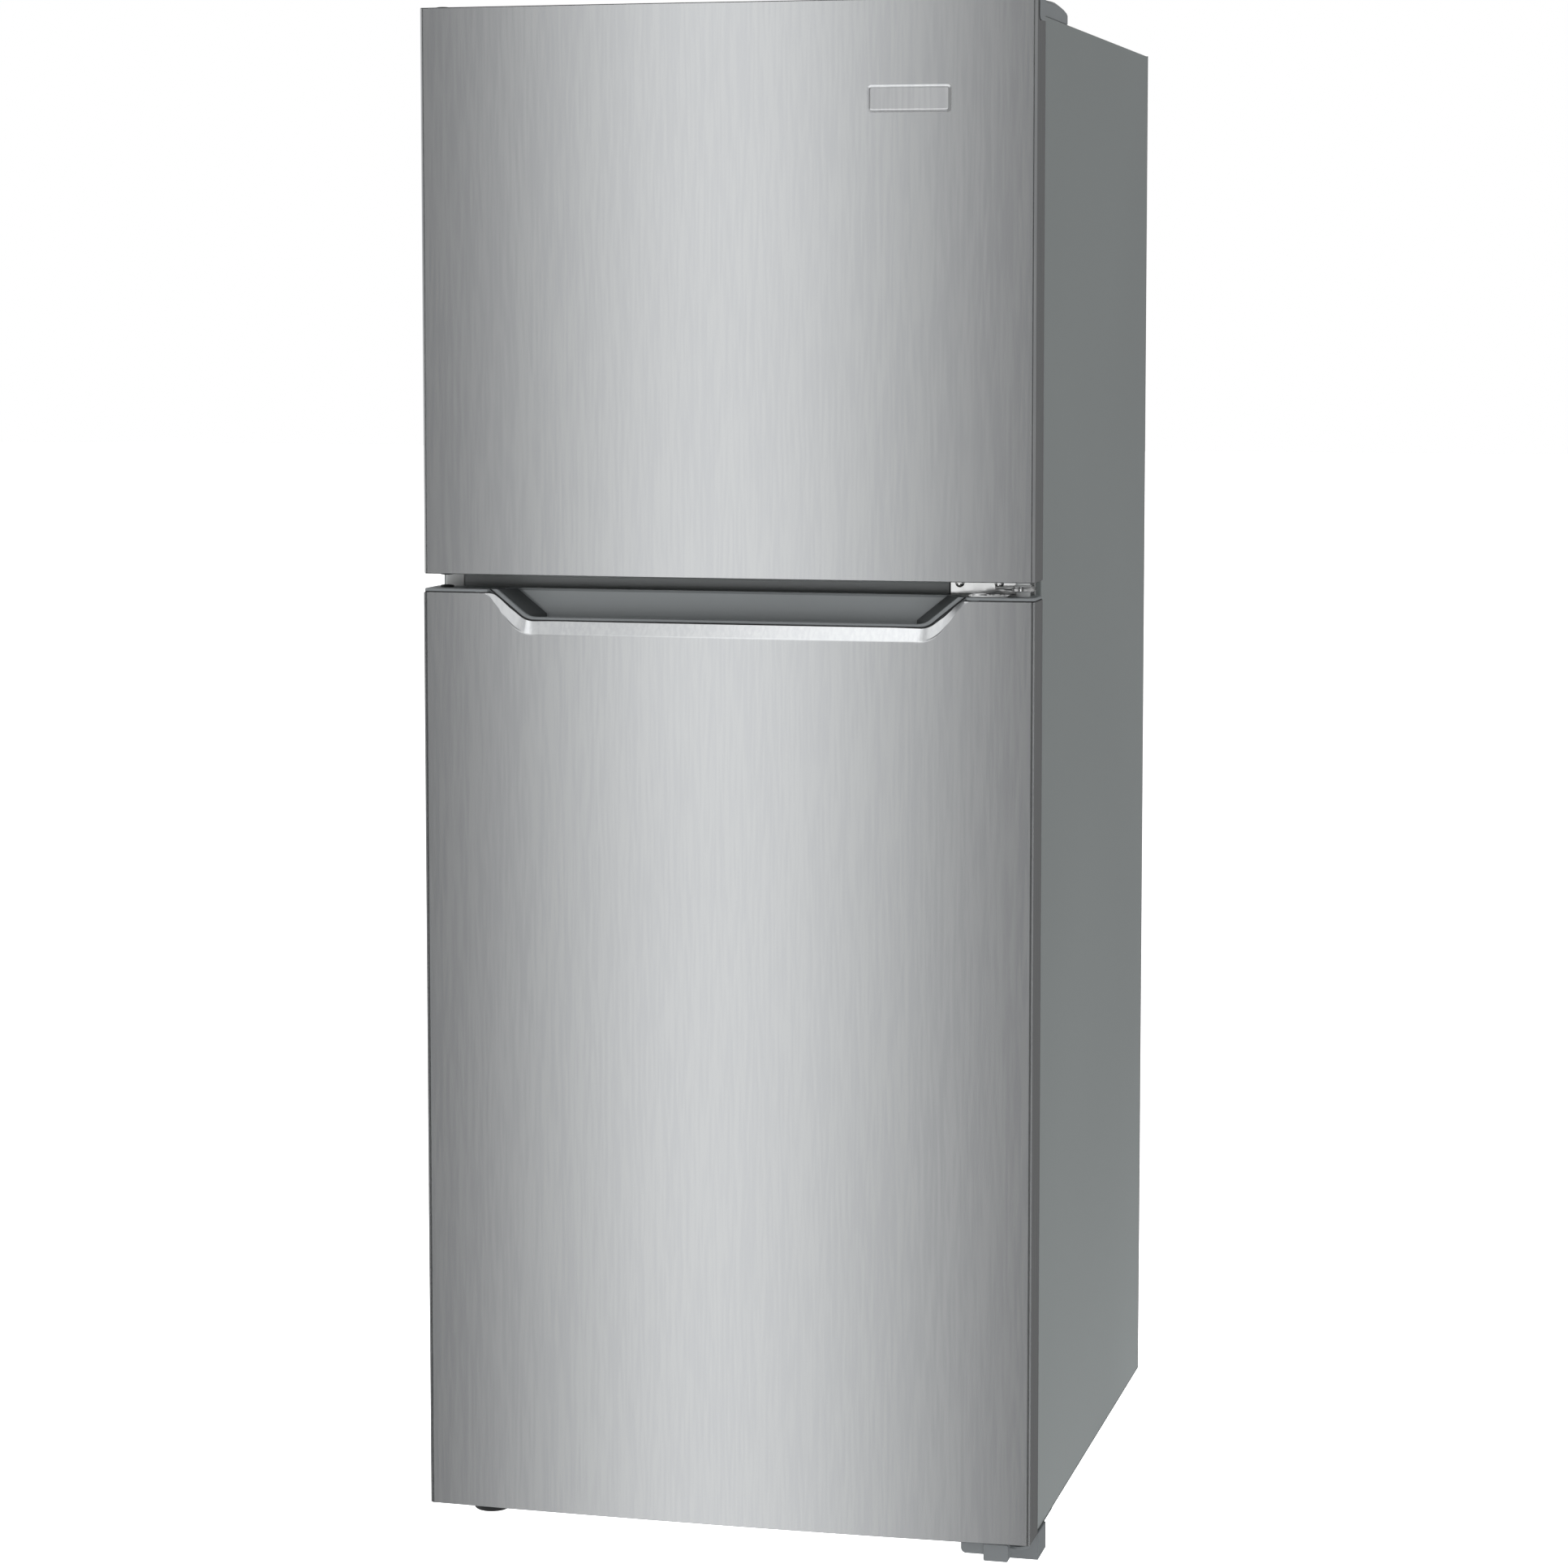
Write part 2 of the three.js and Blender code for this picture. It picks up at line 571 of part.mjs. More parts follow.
function mullionRail() {
  const rail = block(spread(LIP_X), [CABINET_Y, CABINET_Y + LINER], RAIL_Z);
  const front = CABINET_Y - CLEARANCE;
  const band = block(BAND_X, [CABINET_Y - BAND_REACH, front], BAND_Z);
  const neck = block([-LIP_X + 2, BAND_X[1] - 5], [front - 1, CABINET_Y + 1], grown(BAND_Z, -1));
  return join(rail, band, neck);
}

function endPlug() {
  const x = [BAND_X[0] - 20, BAND_X[0] - 1];
  const shape = roundedRectangle(x, grown(BAND_Z, -3), 2);
  return through(shape, [CABINET_Y - BAND_REACH, CABINET_Y - CLEARANCE]);
}

function freezerLiner() {
  const shell = block(
    grown(FREEZER.x, LINER),
    [FREEZER.y[0], FREEZER.y[1] + LINER],
    grown(FREEZER.z, LINER),
  );
  const lipZ = [RAIL_Z[1] + CLEARANCE, CABINET_TOP - CABINET_FLANGE - CLEARANCE];
  const lip = block(spread(LIP_X), [CABINET_Y, CABINET_Y + LINER], lipZ);
  const room = block(FREEZER.x, [FREEZER.y[0] - 1, FREEZER.y[1]], FREEZER.z);
  return join(cut(join(shell, lip), room), ...sideLedges(FREEZER, FREEZER_SHELF_Z, COVER_Y - 12));
}

const LEDGE = { width: 6, height: 5 };

// Ledges moulded in the side walls, just under something that rests at height z.
function sideLedges(room, z, back) {
  const y = [CABINET_Y + 120, back];
  const height = [z - LEDGE.height, z - CLEARANCE];
  return [
    block([room.x[0] - 1, room.x[0] + LEDGE.width], y, height),
    block([room.x[1] - LEDGE.width, room.x[1] + 1], y, height),
  ];
}

// Door switch: a block under the ceiling of the fresh food compartment, and its plunger.
const SWITCH = { x: FRIDGE.x[1] - 55, width: 30, length: 38, drop: 18, front: CABINET_Y + 23, button: 9 };
const SWITCH_Z = [FRIDGE.z[1] - SWITCH.drop, FRIDGE.z[1] + 1];
const BUTTON_Z = around(FRIDGE.z[1] - SWITCH.drop + 6, SWITCH.button);

function fridgeLiner() {
  const low = grown(FRIDGE.z, LINER);
  const whole = block(grown(FRIDGE.x, LINER), [FRIDGE.y[0], FRIDGE.y[1] + LINER], low);
  const bay = block(
    grown(FRIDGE.x, LINER + 1),
    [STEP_Y + LINER, FRIDGE.y[1] + 10],
    [low[0] - 1, STEP_Z - LINER],
  );
  const lipZ = [PAN_FLANGE_TOP + CLEARANCE, RAIL_Z[0] - CLEARANCE];
  const lip = block(spread(LIP_X), [CABINET_Y, CABINET_Y + LINER], lipZ);
  const room = block(FRIDGE.x, [FRIDGE.y[0] - 1, FRIDGE.y[1]], FRIDGE.z);
  const step = block(
    grown(FRIDGE.x, 1),
    [STEP_Y, FRIDGE.y[1] + 1],
    [FRIDGE.z[0] - 1, STEP_Z],
  );
  const shell = cut(join(cut(whole, bay), lip), cut(room, step));
  const switchBlock = cut(
    block(around(SWITCH.x, SWITCH.width), [SWITCH.front, SWITCH.front + SWITCH.length], SWITCH_Z),
    block(
      around(SWITCH.x, SWITCH.button + 0.8),
      [SWITCH.front - 1, SWITCH.front + SWITCH.length - 6],
      grown(BUTTON_Z, 0.4),
    ),
  );
  return join(
    shell,
    switchBlock,
    ...sideLedges(FRIDGE, SHELF_HEIGHTS.upper, SHELF_BACK),
    ...sideLedges(FRIDGE, SHELF_HEIGHTS.lower, SHELF_BACK),
    ...sideLedges(FRIDGE, STEP_Z + CLEARANCE, STEP_Y),
    ...drawerRails(),
  );
}

function insulationFoam() {
  const whole = block(
    INSIDE_X,
    [CABINET_Y + LINER + CLEARANCE, REAR_Y - SHEET - CLEARANCE],
    [CABINET_BOTTOM + SHEET + CLEARANCE, CABINET_TOP - SHEET - CLEARANCE],
  );
  const gap = LINER + CLEARANCE;
  const bay = block(
    grown(INSIDE_X, 1),
    [BAY_Y - SHEET - CLEARANCE, REAR_Y + 1],
    [CABINET_BOTTOM - 1, BAY_TOP + SHEET + CLEARANCE],
  );
  const freezerRoom = block(
    grown(FREEZER.x, gap),
    [CABINET_Y - 1, FREEZER.y[1] + gap],
    grown(FREEZER.z, gap),
  );
  const fridgeRoom = block(grown(FRIDGE.x, gap), [CABINET_Y - 1, FRIDGE.y[1] + gap], grown(FRIDGE.z, gap));
  const step = block(
    grown(FRIDGE.x, gap + 1),
    [STEP_Y + gap, FRIDGE.y[1] + 10],
    [CABINET_BOTTOM, STEP_Z - gap],
  );
  const stems = legHoles(STEM_RADIUS + 1.2, [CABINET_BOTTOM - 1, STEM_TOP + 2]);
  return cut(whole, bay, freezerRoom, cut(fridgeRoom, step), ...stems);
}

// ---------------------------------------------------------------- hinges, legs and rollers

const ARM_RADIUS = 11;

// Arm of a hinge in plan: from the cabinet's front to a round end on the pin's axis.
function hingeArm(root, z) {
  const side = PIN_X + ARM_RADIUS - 2;
  const arm = upright(
    outline([
      [PIN_X - 32, root],
      [side, root],
      [side, PIN_Y],
      [PIN_X - ARM_RADIUS + 2, PIN_Y],
      [PIN_X - 20, PIN_Y + 12],
    ]),
    z,
  );
  return join(arm, rod("z", [PIN_X, PIN_Y], ARM_RADIUS, z));
}

const TOP_HINGE = {
  x: [PIN_X - 60, PIN_X + 8],
  front: CABINET_Y + 2.2,
  arm: [DOORS_TOP + 0.4, DOORS_TOP + 3.1],
  base: [CABINET_TOP + CLEARANCE, CABINET_TOP + CLEARANCE + PLATE],
  back: CABINET_Y + 110,
};
const HINGE_COVER = { wall: 1.7, back: CABINET_Y + 131, top: DOORS_TOP + 5 };

function topHinge() {
  const base = block(TOP_HINGE.x, [TOP_HINGE.front, TOP_HINGE.back], TOP_HINGE.base);
  const riser = block(
    [PIN_X - 24, TOP_HINGE.x[1]],
    [TOP_HINGE.front, TOP_HINGE.front + PLATE],
    [TOP_HINGE.base[0], TOP_HINGE.arm[1]],
  );
  const pin = rod("z", [PIN_X, PIN_Y], PIN_RADIUS, [DOORS_TOP - PIN_REACH, TOP_HINGE.arm[1]]);
  const screwX = (TOP_HINGE.x[0] + TOP_HINGE.x[1]) / 2;
  const holes = row(3, CABINET_Y + 30, 32, (y) => rod("z", [screwX, y], 2.8, grown(TOP_HINGE.base, 1), 12));
  const arm = hingeArm(TOP_HINGE.front + 1, TOP_HINGE.arm);
  return join(cut(base, ...holes), riser, arm, pin);
}

function topHingeCover() {
  const x = [TOP_HINGE.x[0] - 6, HALF_CABINET - 1];
  const roof = [HINGE_COVER.top - HINGE_COVER.wall, HINGE_COVER.top];
  const side = outline([
    [CABINET_Y, CABINET_TOP + CLEARANCE],
    [HINGE_COVER.back, CABINET_TOP + CLEARANCE],
    [HINGE_COVER.back, HINGE_COVER.top - 5],
    [HINGE_COVER.back - 12, HINGE_COVER.top],
    [CABINET_Y, HINGE_COVER.top],
  ]);
  const inside = outline([
    [CABINET_Y + HINGE_COVER.wall, CABINET_TOP - 1],
    [HINGE_COVER.back - HINGE_COVER.wall, CABINET_TOP - 1],
    [HINGE_COVER.back - HINGE_COVER.wall, roof[0] - 5],
    [HINGE_COVER.back - HINGE_COVER.wall - 12, roof[0]],
    [CABINET_Y + HINGE_COVER.wall, roof[0]],
  ]);
  const tongue = block([PIN_X - 26, x[1]], [PIN_Y - ARM_RADIUS - 2, CABINET_Y + 5], roof);
  const armSlot = block(
    [PIN_X - 34, x[1] - HINGE_COVER.wall],
    [CABINET_Y - 1, CABINET_Y + 7],
    [CABINET_TOP, roof[0]],
  );
  return cut(join(across(side, x), tongue), across(inside, grown(x, -HINGE_COVER.wall)), armSlot);
}

const MIDDLE_ARM_Z = around(GAP_MIDDLE - 0.5, PLATE);

function middleHinge() {
  const y = [CABINET_Y - CLEARANCE - PLATE, CABINET_Y - CLEARANCE];
  const plate = block([BAND_X[1] + 1, PIN_X + 7], y, grown(BAND_Z, -2));
  const pinZ = grown([FREEZER_DOOR_Z - DOOR_GAP, FREEZER_DOOR_Z], PIN_REACH);
  const pin = rod("z", [PIN_X, PIN_Y], PIN_RADIUS, pinZ);
  const screws = [BAND_X[1] + 10, BAND_X[1] + 48];
  const holes = screws.map((x) => rod("y", [x, GAP_MIDDLE + 3.5], 4.2, grown(y, 1), 16));
  return join(cut(plate, ...holes), hingeArm(y[0] + 1, MIDDLE_ARM_Z), pin);
}

const BRACKET_Z = [CABINET_BOTTOM - CLEARANCE - PLATE, CABINET_BOTTOM - CLEARANCE];
const BRACKET_BACK = CABINET_Y + 92;
const BRACKET_X = [PIN_X - 62, HALF_CABINET - 1];
const SKIRT_BOTTOM = 1.7; // above the floor

// Bracket that carries a levelling leg, its plate against the underside of the pan.
function legBracket(x) {
  const plate = block(x, [CABINET_Y, BRACKET_BACK], BRACKET_Z);
  return cut(plate, ...legHoles(STEM_RADIUS + 0.5, grown(BRACKET_Z, 1)));
}

function bottomHinge() {
  const armZ = [DOOR_TO_FLOOR - 8, DOOR_TO_FLOOR - 5];
  const pin = rod("z", [PIN_X, PIN_Y], PIN_RADIUS, [armZ[0], DOOR_TO_FLOOR + PIN_REACH]);
  const corner = HALF_CABINET + 2;
  const front = [CABINET_Y - 2, CABINET_Y + 1];
  const skirtFront = block([PIN_X - 14, corner], front, [SKIRT_BOTTOM, BRACKET_Z[1]]);
  const skirtSide = block([corner - PLATE, corner], [front[0], CABINET_Y + 40], [SKIRT_BOTTOM, BRACKET_Z[1]]);
  return join(legBracket(BRACKET_X), hingeArm(CABINET_Y + 1, armZ), pin, skirtFront, skirtSide);
}

function leftLegBracket() {
  const x = [-BRACKET_X[1], -BRACKET_X[0]];
  const lip = block(x, [CABINET_Y, CABINET_Y + PLATE], [BRACKET_Z[0] - 6, BRACKET_Z[1]]);
  return join(legBracket(x), lip);
}

// Levelling leg in its own frame: the floor at z = 0 and the thread's axis at x = y = 0.
function levellingLeg() {
  const foot = rod("z", [0, 0], 18, [0, 6], 24);
  const nut = rod("z", [0, 0], 11, [5, 13], 6);
  const stem = rod("z", [0, 0], STEM_RADIUS, [12, STEM_TOP]);
  return join(foot, nut, stem);
}

const ROLLER = { x: HALF_CABINET - 42, y: REAR_Y - 53, radius: 13, width: 16, axle: 3.5 };
const EAR = 2.4;

function rollerEars(x) {
  const inner = ROLLER.width / 2 + 0.6;
  const y = around(ROLLER.y, 18);
  const z = [ROLLER.radius - 8, CABINET_BOTTOM + 1];
  const axle = rod("x", [ROLLER.y, ROLLER.radius], ROLLER.axle, grown([x - inner, x + inner], EAR));
  return [block([x - inner - EAR, x - inner], y, z), block([x + inner, x + inner + EAR], y, z), axle];
}

// Floor of the compressor bay, with the ears and axles of the rear rollers.
function machineTray() {
  const plate = block(
    INSIDE_X,
    [BAY_Y + CLEARANCE, REAR_Y - 4],
    [CABINET_BOTTOM, CABINET_BOTTOM + 2],
  );
  return join(plate, ...rollerEars(-ROLLER.x), ...rollerEars(ROLLER.x));
}

function roller() {
  const half = spread(ROLLER.width / 2);
  const tread = rod("x", [0, 0], ROLLER.radius, half, 28);
  return cut(tread, rod("x", [0, 0], ROLLER.axle + 0.35, grown(half, 1)));
}

// ---------------------------------------------------------------- cooling machinery
// The bay's own frame: x from the middle, y back from the bay's front wall, z up from its tray.

const TRAY_TOP = CABINET_BOTTOM + 2;
const COMPRESSOR = { x: -95, y: 104, radius: 68, height: 145, stand: 16 };

function compressor() {
  const { x, y, radius, height, stand } = COMPRESSOR;
  const can = new THREE.LatheGeometry(
    [
      [0, stand],
      [radius * 0.8, stand],
      [radius, stand + 26],
      [radius, stand + 78],
      [radius * 0.97, stand + 84],
      [radius * 0.97, stand + height - 34],
      [radius * 0.8, stand + height - 10],
      [radius * 0.4, stand + height],
      [0, stand + height],
    ].map(([r, z]) => new THREE.Vector2(r, z)),
    32,
  );
  can.rotateX(Math.PI / 2);
  const base = block(around(0, 2 * radius + 24), around(0, radius + 30), [stand - 1, stand + 3]);
  const feet = [-1, 1].flatMap((i) =>
    [-1, 1].map((j) => {
      const at = [i * (radius + 2), j * (radius / 2 + 5)];
      return rod("z", at, 8, [CLEARANCE, stand + 1], 14);
    }),
  );
  return join(toSolid(can), base, ...feet).translate(x, y, 0);
}

function drainPan() {
  const { x, y, stand, height } = COMPRESSOR;
  const floor = stand + height + CLEARANCE;
  return tray(around(x, 180), around(y, 150), [floor, floor + 28], 1.8);
}

function filterDrier() {
  const shape = [
    [0, -48],
    [3, -48],
    [3, -38],
    [9, -28],
    [9, 28],
    [3, 38],
    [3, 48],
    [0, 48],
  ].map(([r, z]) => new THREE.Vector2(r, z));
  return toSolid(new THREE.LatheGeometry(shape, 14).rotateX(Math.PI / 2));
}

function bayTubes() {
  const { x, y, radius, stand } = COMPRESSOR;
  const offset = 20;
  const side = x + Math.sqrt(radius ** 2 - (offset - 4) ** 2) + 2 * CLEARANCE;
  const roof = BAY_TOP - TRAY_TOP - CLEARANCE;
  const discharge = [
    [side, y - offset, stand + 50],
    [side + 22, y - offset, stand + 50],
    [side + 34, y - offset, stand + 90],
    [side + 34, y - offset, roof - 20],
    [side + 34, y - offset, roof],
  ];
  const suction = [
    [side, y + offset, stand + 70],
    [side + 26, y + offset, stand + 70],
    [side + 62, y + offset, stand + 110],
    [side + 62, y + offset, roof - 20],
    [side + 62, y + offset, roof],
  ];
  return [tube(discharge, 3, 24), tube(suction, 4, 24)];
}

function compressorBay() {
  const [discharge, suction] = bayTubes();
  return assembly(
    [0, BAY_Y, TRAY_TOP],
    node("compressor", compressor(), blackPaint),
    node("drain_pan", drainPan(), blackPlastic),
    node("filter_drier", filterDrier(), copper, [120, 9 + 2 * CLEARANCE, 110]),
    node("discharge_tube", discharge, copper),
    node("suction_tube", suction, copper),
  );
}

const COVER_BACK_Y = REAR_Y - 1.8;
const GLAND = { x: 225, z: CABINET_BOTTOM + 45, hole: 8, flange: 12 };

// Louvred sheet that closes the compressor bay.
function machineCover() {
  const plate = block(
    INSIDE_X,
    [COVER_BACK_Y - 1.5, COVER_BACK_Y],
    [CABINET_BOTTOM + 3, BAY_TOP - CLEARANCE],
  );
  const slots = [-150, 0, 150].flatMap((x) =>
    row(7, CABINET_BOTTOM + 80, 18, (z) =>
      block(around(x, 110), grown([COVER_BACK_Y - 1.5, COVER_BACK_Y], 1), around(z, 5)),
    ),
  );
  const hole = rod("y", [GLAND.x, GLAND.z], GLAND.hole, grown([COVER_BACK_Y - 1.5, COVER_BACK_Y], 1), 24);
  return cut(plate, hole, ...slots);
}

// Grommet for the supply lead, in the machine cover.
function cordGland() {
  const at = [GLAND.x, GLAND.z];
  const sleeve = rod("y", at, GLAND.hole - 0.4, [COVER_BACK_Y - 8, REAR_Y - 1], 24);
  const flange = rod("y", at, GLAND.flange, [COVER_BACK_Y + CLEARANCE, REAR_Y], 24);
  return cut(join(sleeve, flange), rod("y", at, 4, [COVER_BACK_Y - 9, REAR_Y + 1], 16));
}

// ---------------------------------------------------------------- freezer compartment

const FAN = { z: FREEZER.z[1] - 78, radius: 48, blades: 5, hub: 13 };

// Panel in front of the evaporator, with outlets before the fan and returns at the bottom.
function evaporatorCover() {
  const plate = block(
    grown(FREEZER.x, -CLEARANCE),
    [COVER_Y, COVER_Y + 3],
    grown(FREEZER.z, -CLEARANCE),
  );
  const depth = grown([COVER_Y, COVER_Y + 3], 1);
  const outlets = row(6, FAN.z - 40, 16, (z) => {
    const half = Math.sqrt(FAN.radius ** 2 - (z - FAN.z) ** 2);
    return block(spread(half), depth, around(z, 7));
  });
  const returns = row(9, -160, 40, (x) => block(around(x, 26), depth, [FREEZER.z[0] + 14, FREEZER.z[0] + 24]));
  return cut(plate, ...outlets, ...returns);
}

function fanMotor() {
  const can = rod("y", [0, FAN.z], 24, [COVER_Y + 30, COVER_Y + 56], 24);
  const shaft = rod("y", [0, FAN.z], 2.5, [COVER_Y + 12, COVER_Y + 31], 12);
  const bar = block(spread(64), [COVER_Y + 54, COVER_Y + 58], around(FAN.z, 16));
  const posts = [-58, 58].map((x) => rod("y", [x, FAN.z], 4, [COVER_Y + 3 + CLEARANCE, COVER_Y + 55], 10));
  return join(can, shaft, bar, ...posts);
}

// Fan in its own frame: its shaft along y through the origin.
function fanBlade() {
  const hub = rod("y", [0, 0], FAN.hub, [-8, 5], 20);
  const blade = new THREE.BoxGeometry(FAN.radius - FAN.hub + 2, 1.6, 26)
    .rotateX(0.6)
    .translate((FAN.radius + FAN.hub) / 2 - 1, -1, 0);
  const blades = Array.from({ length: FAN.blades }, (_, i) =>
    toSolid(blade.clone().rotateY((2 * Math.PI * i) / FAN.blades)),
  );
  return cut(join(hub, ...blades), rod("y", [0, 0], 2.9, [-9, 6], 14));
}

// Finned coil: one tube folded back and forth through a row of plates.
function evaporatorCoil() {
  const half = FREEZER.x[1] - 55;
  const y = FREEZER.y[1] - 22 - CLEARANCE;
  const rows = 6;
  const pitch = 34;
  const bottom = FREEZER.z[0] + 45;
  const tubes = row(rows, bottom, pitch, (z) => rod("x", [y, z], 4, spread(half), 8));
  const bends = row(rows - 1, 0, 1, (i) => {
    const x = i % 2 ? -half : half;
    return rod("z", [x - Math.sign(x) * 4, y], 4, [bottom + i * pitch, bottom + (i + 1) * pitch], 8);
  });
  const finZ = [bottom - 14, bottom + (rows - 1) * pitch + 14];
  const fins = row(13, -half + 18, (2 * half - 36) / 12, (x) => block(around(x, 1), around(y, 44), finZ));
  return join(...tubes, ...bends, ...fins);
}

// Wire shelf: rims at the front and back, joined by a row of wires.
function freezerShelf() {
  const half = FREEZER.x[1] - 3;
  const y = [CABINET_Y + 122, COVER_Y - 14];
  const z = FREEZER_SHELF_Z + 3;
  const rims = y.map((at) => rod("x", [at, z], 3, spread(half), 8));
  const stay = rod("x", [(y[0] + y[1]) / 2, z - 0.4], 2.4, spread(half), 8);
  const wires = row(16, -half + 4, (2 * half - 8) / 15, (x) => rod("y", [x, z + 1], 1.9, y, 6));
  return join(...rims, stay, ...wires);
}

// ---------------------------------------------------------------- fresh food compartment

const SHELF_X = grown(FRIDGE.x, -1.3);

function shelfFrame(z) {
  const y = [SHELF_FRONT, SHELF_BACK];
  const whole = block(SHELF_X, y, [z, z + SHELF_THICKNESS]);
  const seat = block(grown(SHELF_X, -7), grown(y, -8), [z + 4, z + SHELF_THICKNESS + 1]);
  const open = block(grown(SHELF_X, -13), grown(y, -14), [z - 1, z + 5]);
  return cut(whole, seat, open);
}

function shelfPane(z) {
  const x = grown(SHELF_X, -7 - CLEARANCE);
  const y = grown([SHELF_FRONT, SHELF_BACK], -8 - CLEARANCE);
  return block(x, y, [z + 4 + CLEARANCE, z + 8.3]);
}

const CRISPER = { front: CABINET_Y + 103, back: STEP_Y - 5, wall: 2.5, rail: 12 };
const RAIL_TOP = STEP_Z - 13;

function drawerRails() {
  const y = [CRISPER.front + 12, STEP_Y + 1];
  const z = [RAIL_TOP - 6, RAIL_TOP];
  return [
    block([FRIDGE.x[0] - 1, FRIDGE.x[0] + CRISPER.rail], y, z),
    block([FRIDGE.x[1] - CRISPER.rail, FRIDGE.x[1] + 1], y, z),
  ];
}

function crisperCover() {
  const whole = block(
    SHELF_X,
    [SHELF_FRONT - 8, FRIDGE.y[1] - 1.3],
    [STEP_Z + CLEARANCE, STEP_Z + CLEARANCE + SHELF_THICKNESS],
  );
  const well = block(
    grown(SHELF_X, -13),
    [SHELF_FRONT + 6, FRIDGE.y[1] - 15],
    [STEP_Z + CLEARANCE + 6, STEP_Z + SHELF_THICKNESS + 2],
  );
  return cut(whole, well);
}

// Drawer that hangs on the liner's rails by the flanges of its sides.
function crisperDrawer() {
  const bodyX = grown(FRIDGE.x, -CRISPER.rail - 4);
  const flangeX = grown(FRIDGE.x, -5.5);
  const y = [CRISPER.front, CRISPER.back];
  const floor = FRIDGE.z[0] + 5;
  const top = RAIL_TOP + CLEARANCE + 3;
  const box = tray(bodyX, y, [floor, top], CRISPER.wall);
  const flange = block(flangeX, [CRISPER.front + 2, CRISPER.back], [RAIL_TOP + CLEARANCE, top]);
  const inner = block(grown(bodyX, -CRISPER.wall), [y[0] + CRISPER.wall, y[1] - CRISPER.wall], [floor + 3, top + 1]);
  const faceX = grown(FRIDGE.x, -5);
  const face = block(faceX, [CRISPER.front - 3, CRISPER.front + 2], [FRIDGE.z[0] + 4, top]);
  const pull = block(spread(90), [CRISPER.front - 6, CRISPER.front - 2], [top - 34, top - 28]);
  return join(cut(join(box, flange), inner), face, pull);
}

// Channel on the back wall that brings cold air down, with an outlet over each shelf.
function airDuct() {
  const x = spread(65);
  const y = [FRIDGE.y[1] - 12, FRIDGE.y[1] - CLEARANCE];
  const z = [STEP_Z + 22, FRIDGE.z[1] - 40];
  const outlets = [SHELF_HEIGHTS.lower - 60, SHELF_HEIGHTS.upper - 60, z[1] - 50].flatMap((at) =>
    [-32, 32].map((slot) => block(around(slot, 40), [y[0] - 1, y[0] + 6], around(at, 10))),
  );
  return cut(block(x, y, z), ...outlets);
}

const CONTROL = { x: spread(105), y: [CABINET_Y + 130, CABINET_Y + 300], drop: 35 };
const CONTROL_Z = [FRIDGE.z[1] - CONTROL.drop, FRIDGE.z[1] - CLEARANCE];
const KNOB = { x: 55, z: CONTROL_Z[0] + 17, radius: 15, reach: 12 };

function controlHousing() {
  const body = block(CONTROL.x, CONTROL.y, CONTROL_Z);
  const lampRecess = block([-85, 20], [CONTROL.y[0] + 30, CONTROL.y[1] - 30], [CONTROL_Z[0] - 1, CONTROL_Z[0] + 20]);
  const bore = rod("y", [KNOB.x, KNOB.z], 3.4, [CONTROL.y[0] - 1, CONTROL.y[0] + 14], 16);
  return cut(body, lampRecess, bore);
}

function lampLens() {
  const x = [-85 + CLEARANCE, 20 - CLEARANCE];
  const y = [CONTROL.y[0] + 30 + CLEARANCE, CONTROL.y[1] - 30 - CLEARANCE];
  const whole = block(x, y, [CONTROL_Z[0] - 3, CONTROL_Z[0] + 8]);
  return cut(whole, block(grown(x, -2), grown(y, -2), [CONTROL_Z[0] - 1, CONTROL_Z[0] + 9]));
}

// Knob in its own frame: its shaft along y, the face of the housing at y = 0.
function temperatureKnob() {
  const dial = rod("y", [0, 0], KNOB.radius, [-KNOB.reach + 5, -CLEARANCE], 32);
  const grip = block(around(0, 7), [-KNOB.reach, -5], spread(KNOB.radius - 2));
  const shaft = rod("y", [0, 0], 3, [-1, 12], 16);
  return join(dial, grip, shaft);
}

// Plunger of the door switch, held in by the closed door.
function switchButton() {
  const tip = SWITCH.front - 2.4;
  return block(around(SWITCH.x, SWITCH.button), [tip, SWITCH.front + 22], BUTTON_Z);
}

// ---------------------------------------------------------------- the whole refrigerator

const refrigerator = new THREE.Group();

refrigerator.add(
  node("cabinet_wrap", cabinetWrap(), cabinetPaint),
  node("back_panel", backPanel(), cabinetPaint),
  node("insulation_foam", insulationFoam(), foamFill),
  node("freezer_liner", freezerLiner(), whitePlastic),
  node("fridge_liner", fridgeLiner(), whitePlastic),
  node("mullion_rail", mullionRail(), capPlastic),
  node("mullion_end_plug", endPlug(), coverPlastic),
  node("base_pan", basePan(), zincPlate),
  node("machine_tray", machineTray(), zincPlate),
  node("machine_cover", machineCover(), zincPlate),
  node("cord_gland", cordGland(), blackPlastic),
  node("top_hinge", topHinge(), zincPlate),
  node("top_hinge_cover", topHingeCover(), coverPlastic),
  node("middle_hinge", middleHinge(), zincPlate),
  node("bottom_hinge", bottomHinge(), hingePaint),
  node("left_leg_bracket", leftLegBracket(), hingePaint),
  node("right_leg", levellingLeg(), blackPlastic, [LEG_X, LEG_Y, 0]),
  node("left_leg", levellingLeg(), blackPlastic, [-LEG_X, LEG_Y, 0]),
  node("right_roller", roller(), blackPlastic, [ROLLER.x, ROLLER.y, ROLLER.radius]),
  node("left_roller", roller(), blackPlastic, [-ROLLER.x, ROLLER.y, ROLLER.radius]),
);

refrigerator.add(
  node("evaporator_cover", evaporatorCover(), whitePlastic),
  node("evaporator_coil", evaporatorCoil(), aluminium),
  node("fan_motor", fanMotor(), blackPlastic),
  node("fan_blade", fanBlade(), blackPlastic, [0, COVER_Y + 18, FAN.z]),
  node("freezer_shelf", freezerShelf(), whitePlastic),
);

